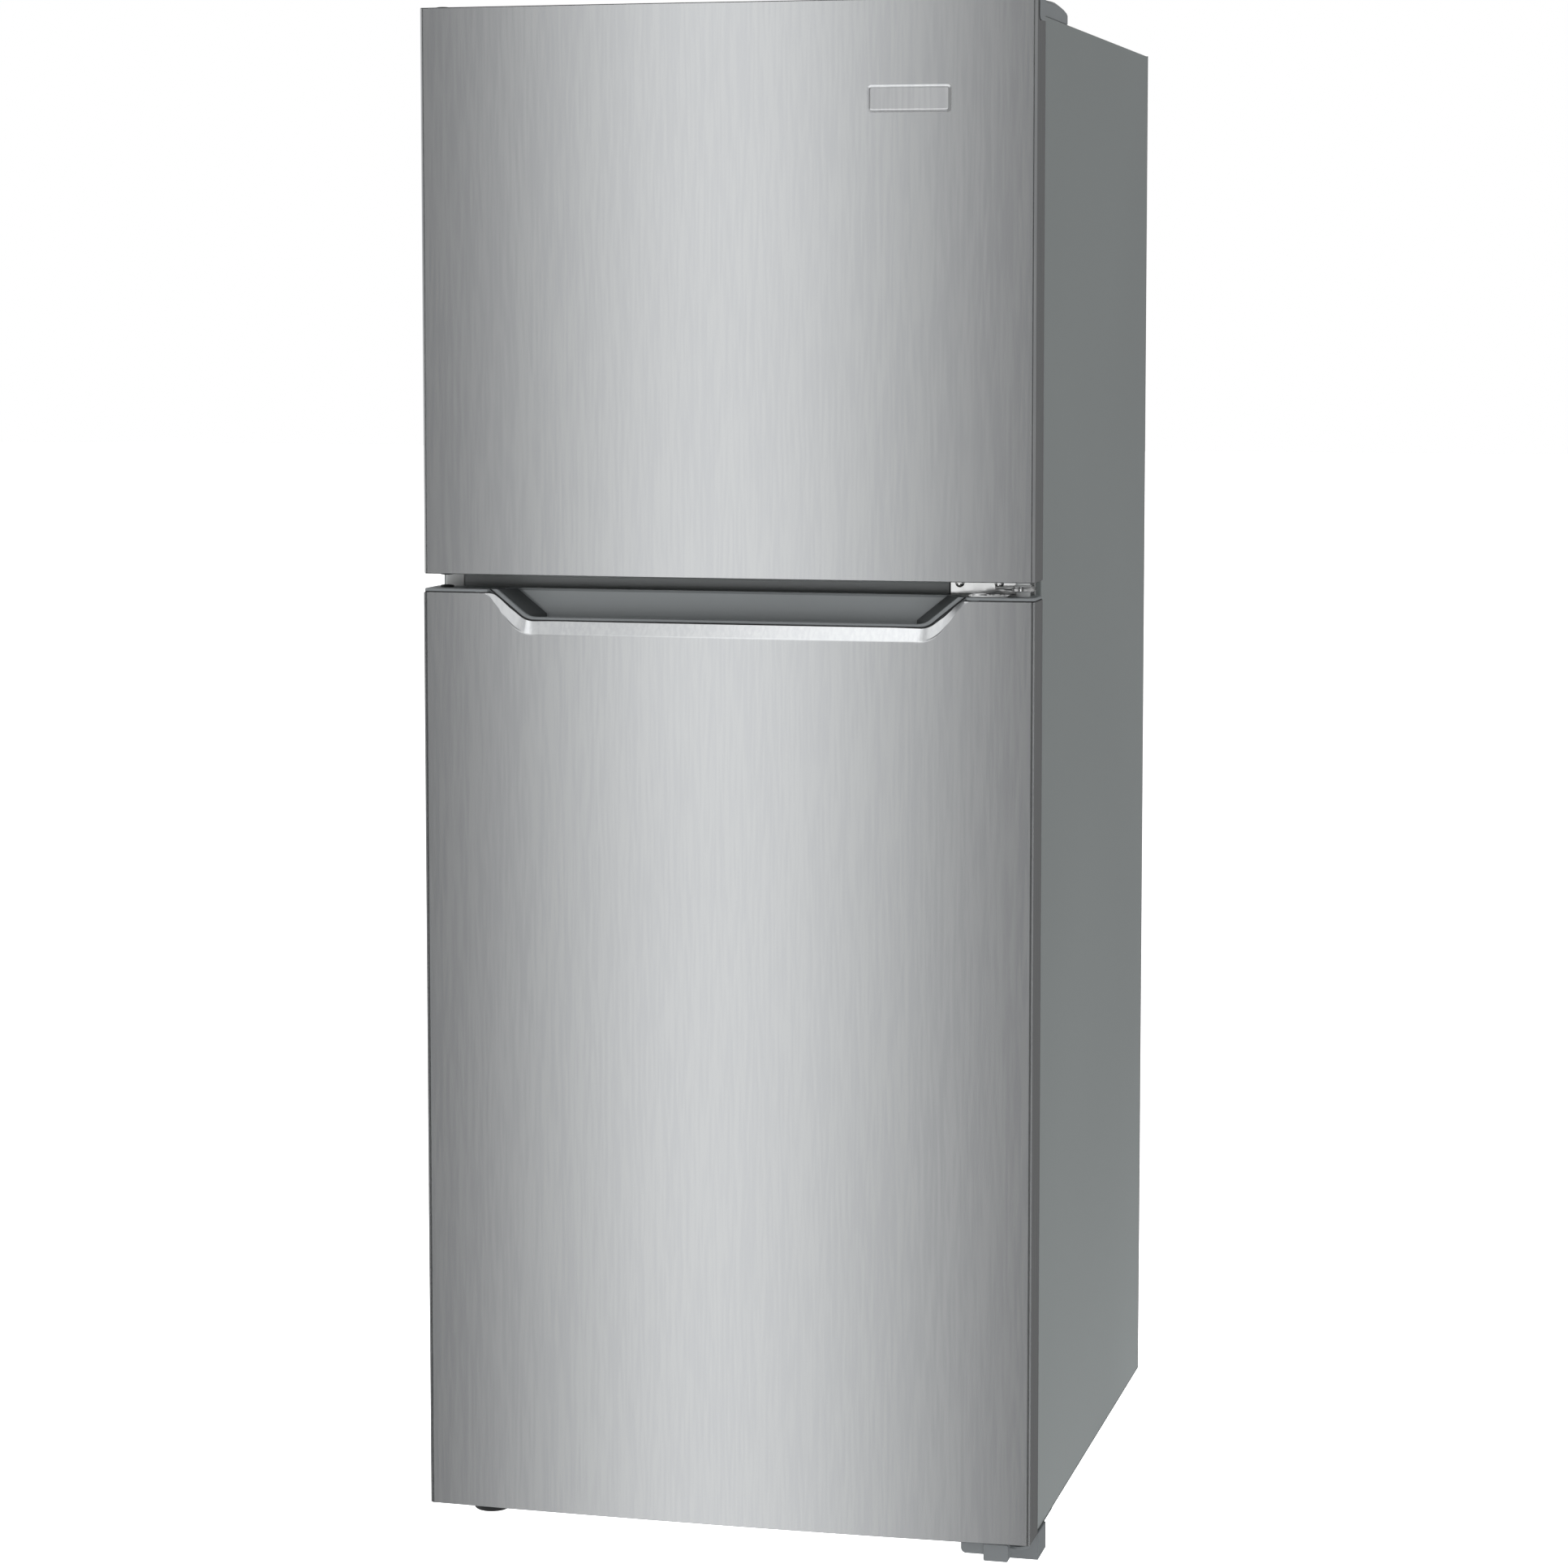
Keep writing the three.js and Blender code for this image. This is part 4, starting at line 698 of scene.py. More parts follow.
class PatternTree:
    """A Geometry Nodes tree, built in code, that turns a seed mesh into a repeated shape."""

    def __init__(self, name: str) -> None:
        """Start a tree with a geometry input and output."""
        self.tree = bpy.data.node_groups.new(name, "GeometryNodeTree")
        self.tree.interface.new_socket("Geometry", in_out="INPUT", socket_type="NodeSocketGeometry")
        self.tree.interface.new_socket("Geometry", in_out="OUTPUT", socket_type="NodeSocketGeometry")
        self.source = self.tree.nodes.new("NodeGroupInput")
        self.keys: dict[str, str] = {}

    @property
    def seed(self) -> bpy.types.NodeSocket:
        """The seed mesh."""
        return self.source.outputs["Geometry"]

    def ask(self, name: str, kind: str) -> bpy.types.NodeSocket:
        """Add a named input.

        Args:
            name: Its name.
            kind: Float, Int, Vector or Object.

        Returns:
            The socket that gives its value.
        """
        made = self.tree.interface.new_socket(name, in_out="INPUT", socket_type=f"NodeSocket{kind}")
        self.keys[name] = made.identifier
        return self.source.outputs[name]

    def add(
        self, kind: str, settings: dict[str, object], values: dict[Union[int, str], object],
        output: Union[int, str] = 0
    ) -> bpy.types.NodeSocket:
        """Add any node.

        Args:
            kind: The node's type.
            settings: Properties that are set before its sockets are filled.
            values: A value or a socket for each input.
            output: The output that is returned.

        Returns:
            The chosen output.
        """
        node = self.tree.nodes.new(kind)
        for key, value in settings.items():
            setattr(node, key, value)
        for key, value in values.items():
            if isinstance(value, bpy.types.NodeSocket):
                self.tree.links.new(value, node.inputs[key])
            else:
                node.inputs[key].default_value = value
        return node.outputs[output]

    def close(self, shape: bpy.types.NodeSocket, finish: Finish) -> None:
        """End the tree with real geometry in one finish."""
        whole = self.add("GeometryNodeRealizeInstances", {}, {"Geometry": shape})
        dressed = self.add("GeometryNodeSetMaterial", {}, {"Geometry": whole, "Material": finish.material()})
        sink = self.tree.nodes.new("NodeGroupOutput")
        self.tree.links.new(dressed, sink.inputs["Geometry"])

    def grow(
        self, name: str, seed: bpy.types.Mesh, finish: Finish, body: str, values: dict[str, object],
        replaces: Sequence[str] = ()
    ) -> bpy.types.Object:
        """Run the tree on a seed mesh and keep the result as a plain piece.

        Args:
            name: The piece's name.
            seed: The mesh that the tree starts from.
            finish: The finish that the tree ends in.
            body: The body the piece moves with.
            values: A value for each named input.
            replaces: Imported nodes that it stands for.

        Returns:
            The piece.
        """
        holder = bpy.data.objects.new(f"{name}_seed", seed)
        bpy.context.scene.collection.objects.link(holder)
        modifier = holder.modifiers.new("pattern", "NODES")
        modifier.node_group = self.tree
        for key, value in values.items():
            modifier[self.keys[key]] = value
        graph = bpy.context.evaluated_depsgraph_get()
        data = bpy.data.meshes.new_from_object(holder.evaluated_get(graph))
        bpy.data.objects.remove(holder)
        data.name = name
        data.shade_smooth()
        data.set_sharp_from_angle(angle=math.radians(35))
        piece = bpy.data.objects.new(name, data)
        bpy.context.scene.collection.objects.link(piece)
        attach(piece, body)
        if replaces:
            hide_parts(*replaces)
        LOG.info("%s rides on %s", name, body)
        return piece


def grid_pattern(finish: Finish) -> PatternTree:
    """Build a tree that repeats its seed in columns and rows.

    Args:
        finish: What the repeated shape is made of.

    Returns:
        The tree, with inputs Columns, Rows, Column step and Row step.
    """
    pattern = PatternTree(f"grid_in_{finish.slot}")
    columns, rows = pattern.ask("Columns", "Int"), pattern.ask("Rows", "Int")
    column_step, row_step = pattern.ask("Column step", "Vector"), pattern.ask("Row step", "Vector")
    line = {"mode": "OFFSET"}
    across = pattern.add("GeometryNodeMeshLine", line, {"Count": columns, "Offset": column_step})
    down = pattern.add("GeometryNodeMeshLine", line, {"Count": rows, "Offset": row_step})
    lines = pattern.add("GeometryNodeInstanceOnPoints", {}, {"Points": across, "Instance": down})
    points = pattern.add("GeometryNodeRealizeInstances", {}, {"Geometry": lines})
    shapes = pattern.add("GeometryNodeInstanceOnPoints", {}, {"Points": points, "Instance": pattern.seed})
    pattern.close(shapes, finish)
    return pattern


def ring_pattern(finish: Finish, axis: Point) -> PatternTree:
    """Build a tree that repeats its seed round an axis through the origin.

    Args:
        finish: What the repeated shape is made of.
        axis: Direction of the axis.

    Returns:
        The tree, with inputs Count, First angle, Step angle and Centre.
    """
    pattern = PatternTree(f"ring_in_{finish.slot}")
    count, centre = pattern.ask("Count", "Int"), pattern.ask("Centre", "Vector")
    first, step = pattern.ask("First angle", "Float"), pattern.ask("Step angle", "Float")
    points = pattern.add(
        "GeometryNodeMeshLine", {"mode": "OFFSET"}, {"Count": count, "Offset": (0.0, 0.0, 0.0)}
    )
    index = pattern.add("GeometryNodeInputIndex", {}, {})
    angle = pattern.add("ShaderNodeMath", {"operation": "MULTIPLY_ADD"}, {0: index, 1: step, 2: first})
    turn = pattern.add("FunctionNodeAxisAngleToRotation", {}, {"Axis": axis, "Angle": angle})
    values = {"Points": points, "Instance": pattern.seed, "Rotation": turn}
    shapes = pattern.add("GeometryNodeInstanceOnPoints", {}, values)
    moved = pattern.add("GeometryNodeTransform", {}, {"Geometry": shapes, "Translation": centre})
    pattern.close(moved, finish)
    return pattern


def wire_pattern(finish: Finish) -> PatternTree:
    """Build a tree that lays round wire along the seed's edges.

    Args:
        finish: What the wire is made of.

    Returns:
        The tree, with inputs Radius and Sides.
    """
    pattern = PatternTree(f"wire_in_{finish.slot}")
    radius, sides = pattern.ask("Radius", "Float"), pattern.ask("Sides", "Int")
    curves = pattern.add("GeometryNodeMeshToCurve", {}, {"Mesh": pattern.seed})
    circle = pattern.add("GeometryNodeCurvePrimitiveCircle", {}, {"Resolution": sides, "Radius": radius})
    values = {"Curve": curves, "Profile Curve": circle, "Fill Caps": True}
    pattern.close(pattern.add("GeometryNodeCurveToMesh", {}, values), finish)
    return pattern


def scatter_pattern(finish: Finish) -> PatternTree:
    """Build a tree that sets a shape on each seed point, facing along the point's own direction.

    Args:
        finish: What the shape is made of.

    Returns:
        The tree, with inputs Form, Size and Seed; each copy has its own turn about its axis.
    """
    pattern = PatternTree(f"scatter_in_{finish.slot}")
    form, size = pattern.ask("Form", "Object"), pattern.ask("Size", "Float")
    seed = pattern.ask("Seed", "Int")
    shape = pattern.add("GeometryNodeObjectInfo", {}, {"Object": form}, "Geometry")
    facing = pattern.add(
        "GeometryNodeInputNamedAttribute", {"data_type": "FLOAT_VECTOR"}, {"Name": "facing"}, "Attribute"
    )
    aligned = pattern.add("FunctionNodeAlignRotationToVector", {"axis": "Z"}, {"Vector": facing})
    turn = pattern.add(
        "FunctionNodeRandomValue", {"data_type": "FLOAT"}, {2: 0.0, 3: math.tau, "Seed": seed}, 1
    )
    spin = pattern.add("FunctionNodeAxisAngleToRotation", {}, {"Axis": (0.0, 0.0, 1.0), "Angle": turn})
    settings = {"rotation_space": "LOCAL"}
    both = pattern.add("FunctionNodeRotateRotation", settings, {"Rotation": aligned, "Rotate By": spin})
    values = {"Points": pattern.seed, "Instance": shape, "Rotation": both, "Scale": size}
    pattern.close(pattern.add("GeometryNodeInstanceOnPoints", {}, values), finish)
    return pattern


@dataclass
class Screws:
    """Cross recessed screw heads, set by a pattern tree."""

    radius: float = 3.6 * MM
    arm: float = 0.55 * MM
    reach: float = 2.0 * MM

    def _form(self) -> bpy.types.Object:
        """Make one head of unit size, its flat side down at the origin, with a cross sunk in its crown."""
        steps = 24
        work = Workpiece()
        profile = [(0.0, 0.0), (1.0, 0.0), (1.0, 0.1), (0.93, 0.3), (0.72, 0.45), (0.62, 0.49)]
        work.turned([(r * self.radius, h * self.radius) for r, h in profile], (0.0, 0.0), steps=steps)
        crown = 0.49 * self.radius
        cross = [
            (self.arm, self.reach), (self.arm, self.arm), (self.reach, self.arm), (self.reach, -self.arm),
            (self.arm, -self.arm), (self.arm, -self.reach), (-self.arm, -self.reach), (-self.arm, -self.arm),
            (-self.reach, -self.arm), (-self.reach, self.arm), (-self.arm, self.arm), (-self.arm, self.reach)
        ]
        work.prism([(0.9 * u, 0.9 * v) for u, v in cross], (crown - 0.6 * MM, crown + 0.02 * MM))
        data = bpy.data.meshes.new("screw_head")
        bmesh.ops.remove_doubles(work.mesh, verts=work.mesh.verts, dist=1e-6)
        bmesh.ops.recalc_face_normals(work.mesh, faces=work.mesh.faces)
        work.mesh.to_mesh(data)
        return bpy.data.objects.new("screw_head", data)

    def set_in(
        self, name: str, finish: Finish, body: str, places: Sequence[Point], facing: Point, size: float = 1.0
    ) -> bpy.types.Object:
        """Set a head at each place.

        Args:
            name: Name of the group of heads.
            finish: What they are made of.
            body: The body they move with.
            places: Where each head's flat side lies.
            facing: The direction that the heads look in.
            size: Multiplier of the head's size.

        Returns:
            The piece.
        """
        data = bpy.data.meshes.new(f"{name}_places")
        data.from_pydata([tuple(place) for place in places], [], [])
        directions = data.attributes.new("facing", "FLOAT_VECTOR", "POINT")
        directions.data.foreach_set("vector", [value for _ in places for value in facing])
        form = self._form()
        values = {"Form": form, "Size": size, "Seed": 7}
        piece = scatter_pattern(finish).grow(name, data, finish, body, values)
        bpy.data.objects.remove(form)
        return piece


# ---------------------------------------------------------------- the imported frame


NODE_FINISHES: dict[Finish, tuple[str, ...]] = {
    Finish.CABINET_PAINT: ("cabinet_wrap", "back_panel"),
    Finish.HINGE_PAINT: ("bottom_hinge", "left_leg_bracket", "door_stop"),
    Finish.ZINC_PLATE: ("base_pan", "machine_tray", "machine_cover"),
    # The hinges' zinc is lightened to near white: painted light for the shade between the doors.
    Finish.HINGE_ZINC: ("top_hinge", "middle_hinge"),
    Finish.CAP_PLASTIC: (
        "mullion_rail", "freezer_door_bottom_cap", "fridge_door_top_cap", "fridge_door_bottom_cap"
    ),
    Finish.BUSH_PLASTIC: ("mullion_end_plug",),
    Finish.COVER_PLASTIC: ("top_hinge_cover", "freezer_door_top_cap", "temperature_knob"),
    Finish.WHITE_PLASTIC: (
        "freezer_liner", "fridge_liner", "freezer_door_liner", "fridge_door_liner", "freezer_bin_upper",
        "freezer_bin_lower", "evaporator_cover", "control_housing", "switch_button", "air_duct",
        "lower_shelf_frame", "upper_shelf_frame"
    ),
    Finish.WHITE_WIRE: ("freezer_shelf",),
    Finish.BLACK_PLASTIC: (
        "cord_gland", "right_leg", "left_leg", "right_roller", "left_roller", "fan_motor", "fan_blade",
        "drain_pan"
    ),
    Finish.BLACK_PAINT: ("compressor",),
    Finish.COPPER_TUBE: ("filter_drier", "discharge_tube", "suction_tube"),
    Finish.COIL_ALUMINIUM: ("evaporator_coil",),
    Finish.GASKET_RUBBER: ("freezer_door_gasket", "fridge_door_gasket"),
    Finish.CLEAR_PLASTIC: (
        "crisper_cover", "crisper_drawer", "fridge_bin_upper", "fridge_bin_middle", "fridge_bin_lower"
    ),
    Finish.SHELF_GLASS: ("lower_shelf_glass", "upper_shelf_glass"),
    Finish.LAMP_PLASTIC: ("lamp_lens",),
    Finish.FOAM_FILL: ("insulation_foam", "freezer_door_foam", "fridge_door_foam"),
    Finish.DOOR_STEEL: ("freezer_door_skin", "fridge_door_skin", "badge_plate")
}

ROUNDING: dict[str, float] = {
    "cabinet_wrap": 1.2 * MM, "base_pan": 0.4 * MM, "mullion_end_plug": 1.0 * MM, "machine_cover": 0.2 * MM,
    "suction_tube": 0.2 * MM, "discharge_tube": 0.2 * MM, "freezer_door_top_cap": 0.3 * MM,
    "freezer_door_bottom_cap": 0.3 * MM, "fridge_door_bottom_cap": 0.3 * MM, "freezer_door_liner": 1.2 * MM,
    "fridge_door_liner": 1.2 * MM, "freezer_liner": 0.9 * MM, "fridge_liner": 0.9 * MM,
    "top_hinge": 0.4 * MM, "middle_hinge": 0.4 * MM, "bottom_hinge": 0.5 * MM, "left_leg_bracket": 0.4 * MM,
    "machine_tray": 0.4 * MM, "compressor": 1.0 * MM, "filter_drier": 0.6 * MM, "fan_motor": 0.8 * MM,
    "fan_blade": 0.3 * MM, "drain_pan": 0.6 * MM, "evaporator_cover": 0.8 * MM, "control_housing": 3.0 * MM,
    "air_duct": 2.5 * MM, "lower_shelf_frame": 0.8 * MM, "upper_shelf_frame": 0.8 * MM,
    "lower_shelf_glass": 0.5 * MM, "upper_shelf_glass": 0.5 * MM, "crisper_cover": 0.6 * MM,
    "crisper_drawer": 0.8 * MM, "freezer_bin_upper": 0.8 * MM, "freezer_bin_lower": 0.8 * MM,
    "fridge_bin_upper": 0.8 * MM, "fridge_bin_middle": 0.8 * MM, "fridge_bin_lower": 0.8 * MM,
    "lamp_lens": 1.2 * MM, "switch_button": 1.0 * MM
}


LAPPED_CAPS = ("freezer_door_top_cap", "freezer_door_bottom_cap", "fridge_door_bottom_cap")


@dataclass
class PackedFrame:
    """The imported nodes, dressed where they stay in sight and rounded along their edges."""

    nodes: dict[str, bpy.types.Object]
    bodies: dict[str, str]

    @classmethod
    def loaded(cls) -> "PackedFrame":
        """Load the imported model."""
        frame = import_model()
        bodies = frame["record"]["behaviour"]["bodies"]
        owners = {node: body for body, names in bodies.items() for node in names}
        return cls(frame["nodes"], owners)

    def dress(self) -> None:
        """Give every node its finish."""
        for finish, names in NODE_FINISHES.items():
            for name in names:
                mesh = self.nodes[name].data
                mesh.materials.clear()
                mesh.materials.append(finish.material())

    @staticmethod
    def _draw_in(work: Workpiece, body: str, lap: float = 1.15 * MM) -> None:
        """Set the outer faces of a door's end cap behind the sheet that laps over it."""
        form = DoorForm.of(f"{body}_skin")
        side, back = form.half - lap, form.front + form.thickness - lap
        for vert in work.mesh.verts:
            x = max(-side, min(side, vert.co.x))
            front = form.face(min(abs(x), form.half - form.corner), lap)
            vert.co.x, vert.co.y = x, min(max(vert.co.y, front), back)

    def round_edges(self) -> None:
        """Put a merged copy with rounded edges in the place of each node that keeps its shape."""
        finishes = {name: finish for finish, names in NODE_FINISHES.items() for name in names}
        for name, width in ROUNDING.items():
            work = Workpiece().copied(self.nodes[name])
            if name in LAPPED_CAPS:
                self._draw_in(work, self.bodies[name])
            work.piece(
                f"{name}_rounded", finishes[name], self.bodies[name], replaces=[name], bevel=width,
                sharp=32.0
            )


# ---------------------------------------------------------------- doors


@dataclass
class DoorForm:
    """Plan of a door: x from its middle, y from its front corners."""

    front: float
    half: float = 300 * MM
    thickness: float = 42 * MM
    bow: float = 6 * MM
    corner: float = 3 * MM
    sheet: float = 1 * MM
    back_flange: float = 10 * MM
    bow_steps: int = 48
    corner_steps: int = 6

    @classmethod
    def of(cls, skin: str) -> "DoorForm":
        """Read a door's front and width from its packed skin."""
        low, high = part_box(skin)
        return cls(front=low[1] + cls.bow, half=high[0])

    def face(self, x: float, inset: float = 0.0) -> float:
        """Place of the bowed front along Y."""
        radius = (self.half**2 + self.bow**2) / (2 * self.bow)
        return self.front + radius - self.bow - math.sqrt((radius - inset) ** 2 - x**2)

    def front_path(self, inset: float = 0.0, stations: Sequence[float] = ()) -> Outline:
        """Run along the front from one side to the other.

        Args:
            inset: How far it lies inside the door's outer faces.
            stations: Places along X that it has to pass through.

        Returns:
            The run, with its rounded corners.
        """
        flat = self.half - inset - self.corner
        spread = [flat * (2 * i / self.bow_steps - 1) for i in range(self.bow_steps + 1)]
        spread += [-flat + 0.8 * MM, flat - 0.8 * MM]
        across = sorted(set([round(x, 6) for x in spread] + [round(x, 6) for x in stations]))
        centre = self.face(flat, inset) + self.corner
        turn = [math.pi / 2 * i / self.corner_steps for i in range(self.corner_steps)]
        left = [(-flat - self.corner * math.cos(a), centre - self.corner * math.sin(a)) for a in turn]
        right = [(-x, y) for x, y in reversed(left)]
        return left + [(x, self.face(x, inset)) for x in across] + right

    def plan(self, inset: float, back: float) -> Outline:
        """Closed plan, set in all round, with its back at the given depth."""
        side = self.half - inset
        return [(-side, self.front + back)] + self.front_path(inset) + [(side, self.front + back)]


@dataclass
class Skin:
    """Brushed sheet of a door: bowed front, both sides and a narrow flange behind."""

    form: DoorForm
    node: str
    body: str
    span: tuple[float, float]
    notch: Callable[[float], float] | None = None
    press: Callable[[float], float] | None = None
    stations: Sequence[float] = ()
    press_depth: float = 6.5 * MM
    press_shares: tuple[float, ...] = (0.12, 0.9, 1.0)

    def column(self, x: float, y: float, front: bool) -> list[Point]:
        """Points of one upright line of the sheet, from the bottom to the top or to the notch's edge."""
        low, high = self.span
        top = min(self.notch(x), high) if front and self.notch else high
        edge = min(self.press(x), top) if front and self.press else top
        points = [(x, y, low), (x, y, low + 1 * MM), (x, y, edge - 1.2 * MM), (x, y, edge)]
        for share in self.press_shares:
            depth = share * self.press_depth * min(1.0, (top - edge) / (11 * MM))
            points.append((x, y + depth, edge + share * (top - edge)))
        return points

    def build(self) -> bpy.types.Object:
        """Make the sheet, one millimetre thick, from upright lines in a row."""
        form = self.form
        back = form.front + form.thickness
        run = form.front_path(0.0, self.stations)
        inner = form.half - form.back_flange
        outline = [(-inner, back), (-form.half, back)] + run + [(form.half, back), (inner, back)]
        flat = form.half - form.corner - 1e-6
        columns = [self.column(x, y, abs(x) <= flat and y < form.front + form.corner) for x, y in outline]
        work = Workpiece().loft(columns, closed=False).thicken(form.sheet, (0.0, -1.0, 0.0))
        return work.piece(
            f"{self.node}_sheet", Finish.DOOR_STEEL, self.body, replaces=[self.node], sharp=40.0
        )


@dataclass
class Seams:
    """Dark lines where a door's sheet meets its end caps, and at the front of its sides."""

    form: DoorForm
    body: str
    name: str
    heights: Sequence[float]
    gap: float = 0.8 * MM
    recess: float = 0.35 * MM

    def build(self) -> bpy.types.Object:
        """Make one closed band for each height."""
        work = Workpiece()
        for height in self.heights:
            outline = self.form.plan(self.recess, self.form.thickness - self.recess)
            work.prism(outline, (height - self.gap, height + self.gap))
        return work.piece(self.name, Finish.BLACK_PLASTIC, self.body)


@dataclass
class Gasket:
    """Magnetic door seal: a flat foot, a bellows and a soft bulb, mitred at its corners."""

    node: str
    body: str
    corner: float = 4 * MM

    def build(self) -> bpy.types.Object:
        """Sweep the seal's section round the door."""
        low, high = corners_of(self.node)
        depth = high.y - low.y
        width = 20 * MM
        section = [
            (0.02, 0.0), (0.98, 0.0), (0.98, 0.16), (0.86, 0.22), (0.86, 0.34), (0.97, 0.42), (0.97, 0.56),
            (0.87, 0.64), (0.9, 0.8), (1.0, 0.88), (0.97, 0.97), (0.88, 1.0), (0.15, 1.0), (0.04, 0.96),
            (0.0, 0.86), (0.12, 0.78), (0.12, 0.62), (0.03, 0.54), (0.03, 0.4), (0.14, 0.32), (0.14, 0.22),
            (0.02, 0.16)
        ]
        rings = []
        for share, along in section:
            inset = share * width
            outline = filleted(
                rectangle((low.x + inset, low.z + inset), (high.x - inset, high.z - inset)),
                max(self.corner * (1 - share), 0.4 * MM), 3
            )
            rings.append([placed(u, v, low.y + along * depth, "y") for u, v in outline])
        work = Workpiece().loft(rings + rings[:1], capped=False)
        return work.piece(
            f"{self.node}_seal", Finish.GASKET_RUBBER, self.body, replaces=[self.node], sharp=50.0
        )


@dataclass
class FreezerDoor:
    """Upper door: sheet, seams, seal, and a blank bevelled badge."""

    rim: float = 0.8 * MM
    shoulder: float = 20 * MM

    def build(self) -> None:
        """Make the door's pieces."""
        form = DoorForm.of("freezer_door_skin")
        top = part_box("freezer_door_top_cap")[1][2]
        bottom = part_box("freezer_door_bottom_cap")[0][2]
        Skin(form, "freezer_door_skin", "freezer_door", (bottom + self.rim, top - self.rim)).build()
        Seams(form, "freezer_door", "freezer_door_seams", (top - 0.45 * MM,), 0.35 * MM, 0.3 * MM).build()
        Gasket("freezer_door_gasket", "freezer_door").build()
        self._badge(form)
        self._shoulders(form, top)

    def _shoulders(self, form: DoorForm, top: float) -> None:
        """Make the end cap's wings over the tops of both sides, and the dark joint in front of each."""
        joint = Workpiece()
        wings = Workpiece()
        near = form.front + 9 * MM
        for side in (-1, 1):
            x = side * (form.half + 0.1 * MM)
            drops = ((0.0, 0.5), (0.0, 15.5), (1.2, 18.6), (4.0, 20.0), (8.0, 20.4))
            joint.tube([(x, near + back * MM, top - drop * MM) for back, drop in drops], 0.45 * MM, 8)
            corners = rectangle(
                (near + 0.5 * MM, top - self.shoulder),
                (form.front + form.thickness - 1 * MM, top - 0.4 * MM)
            )
            span = sorted((side * (form.half - 0.2 * MM), side * (form.half + 0.25 * MM)))
            wings.prism(filleted(corners, (5 * MM, 1 * MM, 1 * MM, 1 * MM), 5), (span[0], span[1]), "x")
        joint.piece("freezer_cap_joints", Finish.BLACK_PLASTIC, "freezer_door", sharp=80.0)
        wings.piece("freezer_cap_wings", Finish.COVER_PLASTIC, "freezer_door", bevel=0.15 * MM)

    def _badge(self, form: DoorForm) -> None:
        """Make the blank plate: a polished bevel round a brushed, slightly sunk field."""
        low, high = corners_of("badge_plate")
        middle = ((low.x + high.x) / 2, (low.z + high.z) / 2)
        half = ((high.x - low.x) / 2, (high.z - low.z) / 2)
        steps = ((0.0, 0.0), (0.0, 0.7), (0.4, 1.1), (1.7, 2.1), (2.3, 2.2), (2.7, 1.9), (3.0, 1.75))
        rings = []
        for inset, rise in steps:
            corners = rectangle(
                (middle[0] - half[0] + inset * MM, middle[1] - half[1] + inset * MM),
                (middle[0] + half[0] - inset * MM, middle[1] + half[1] - inset * MM)
            )
            outline = filleted(corners, (3.5 - inset * 0.7) * MM, 5)
            rings.append([(u, form.face(u) + 0.1 * MM - rise * MM, v) for u, v in outline])
        Workpiece().loft(rings).piece(
            "badge_plate_blank", Finish.BADGE_STEEL, "freezer_door", replaces=["badge_plate"], sharp=12.0
        )


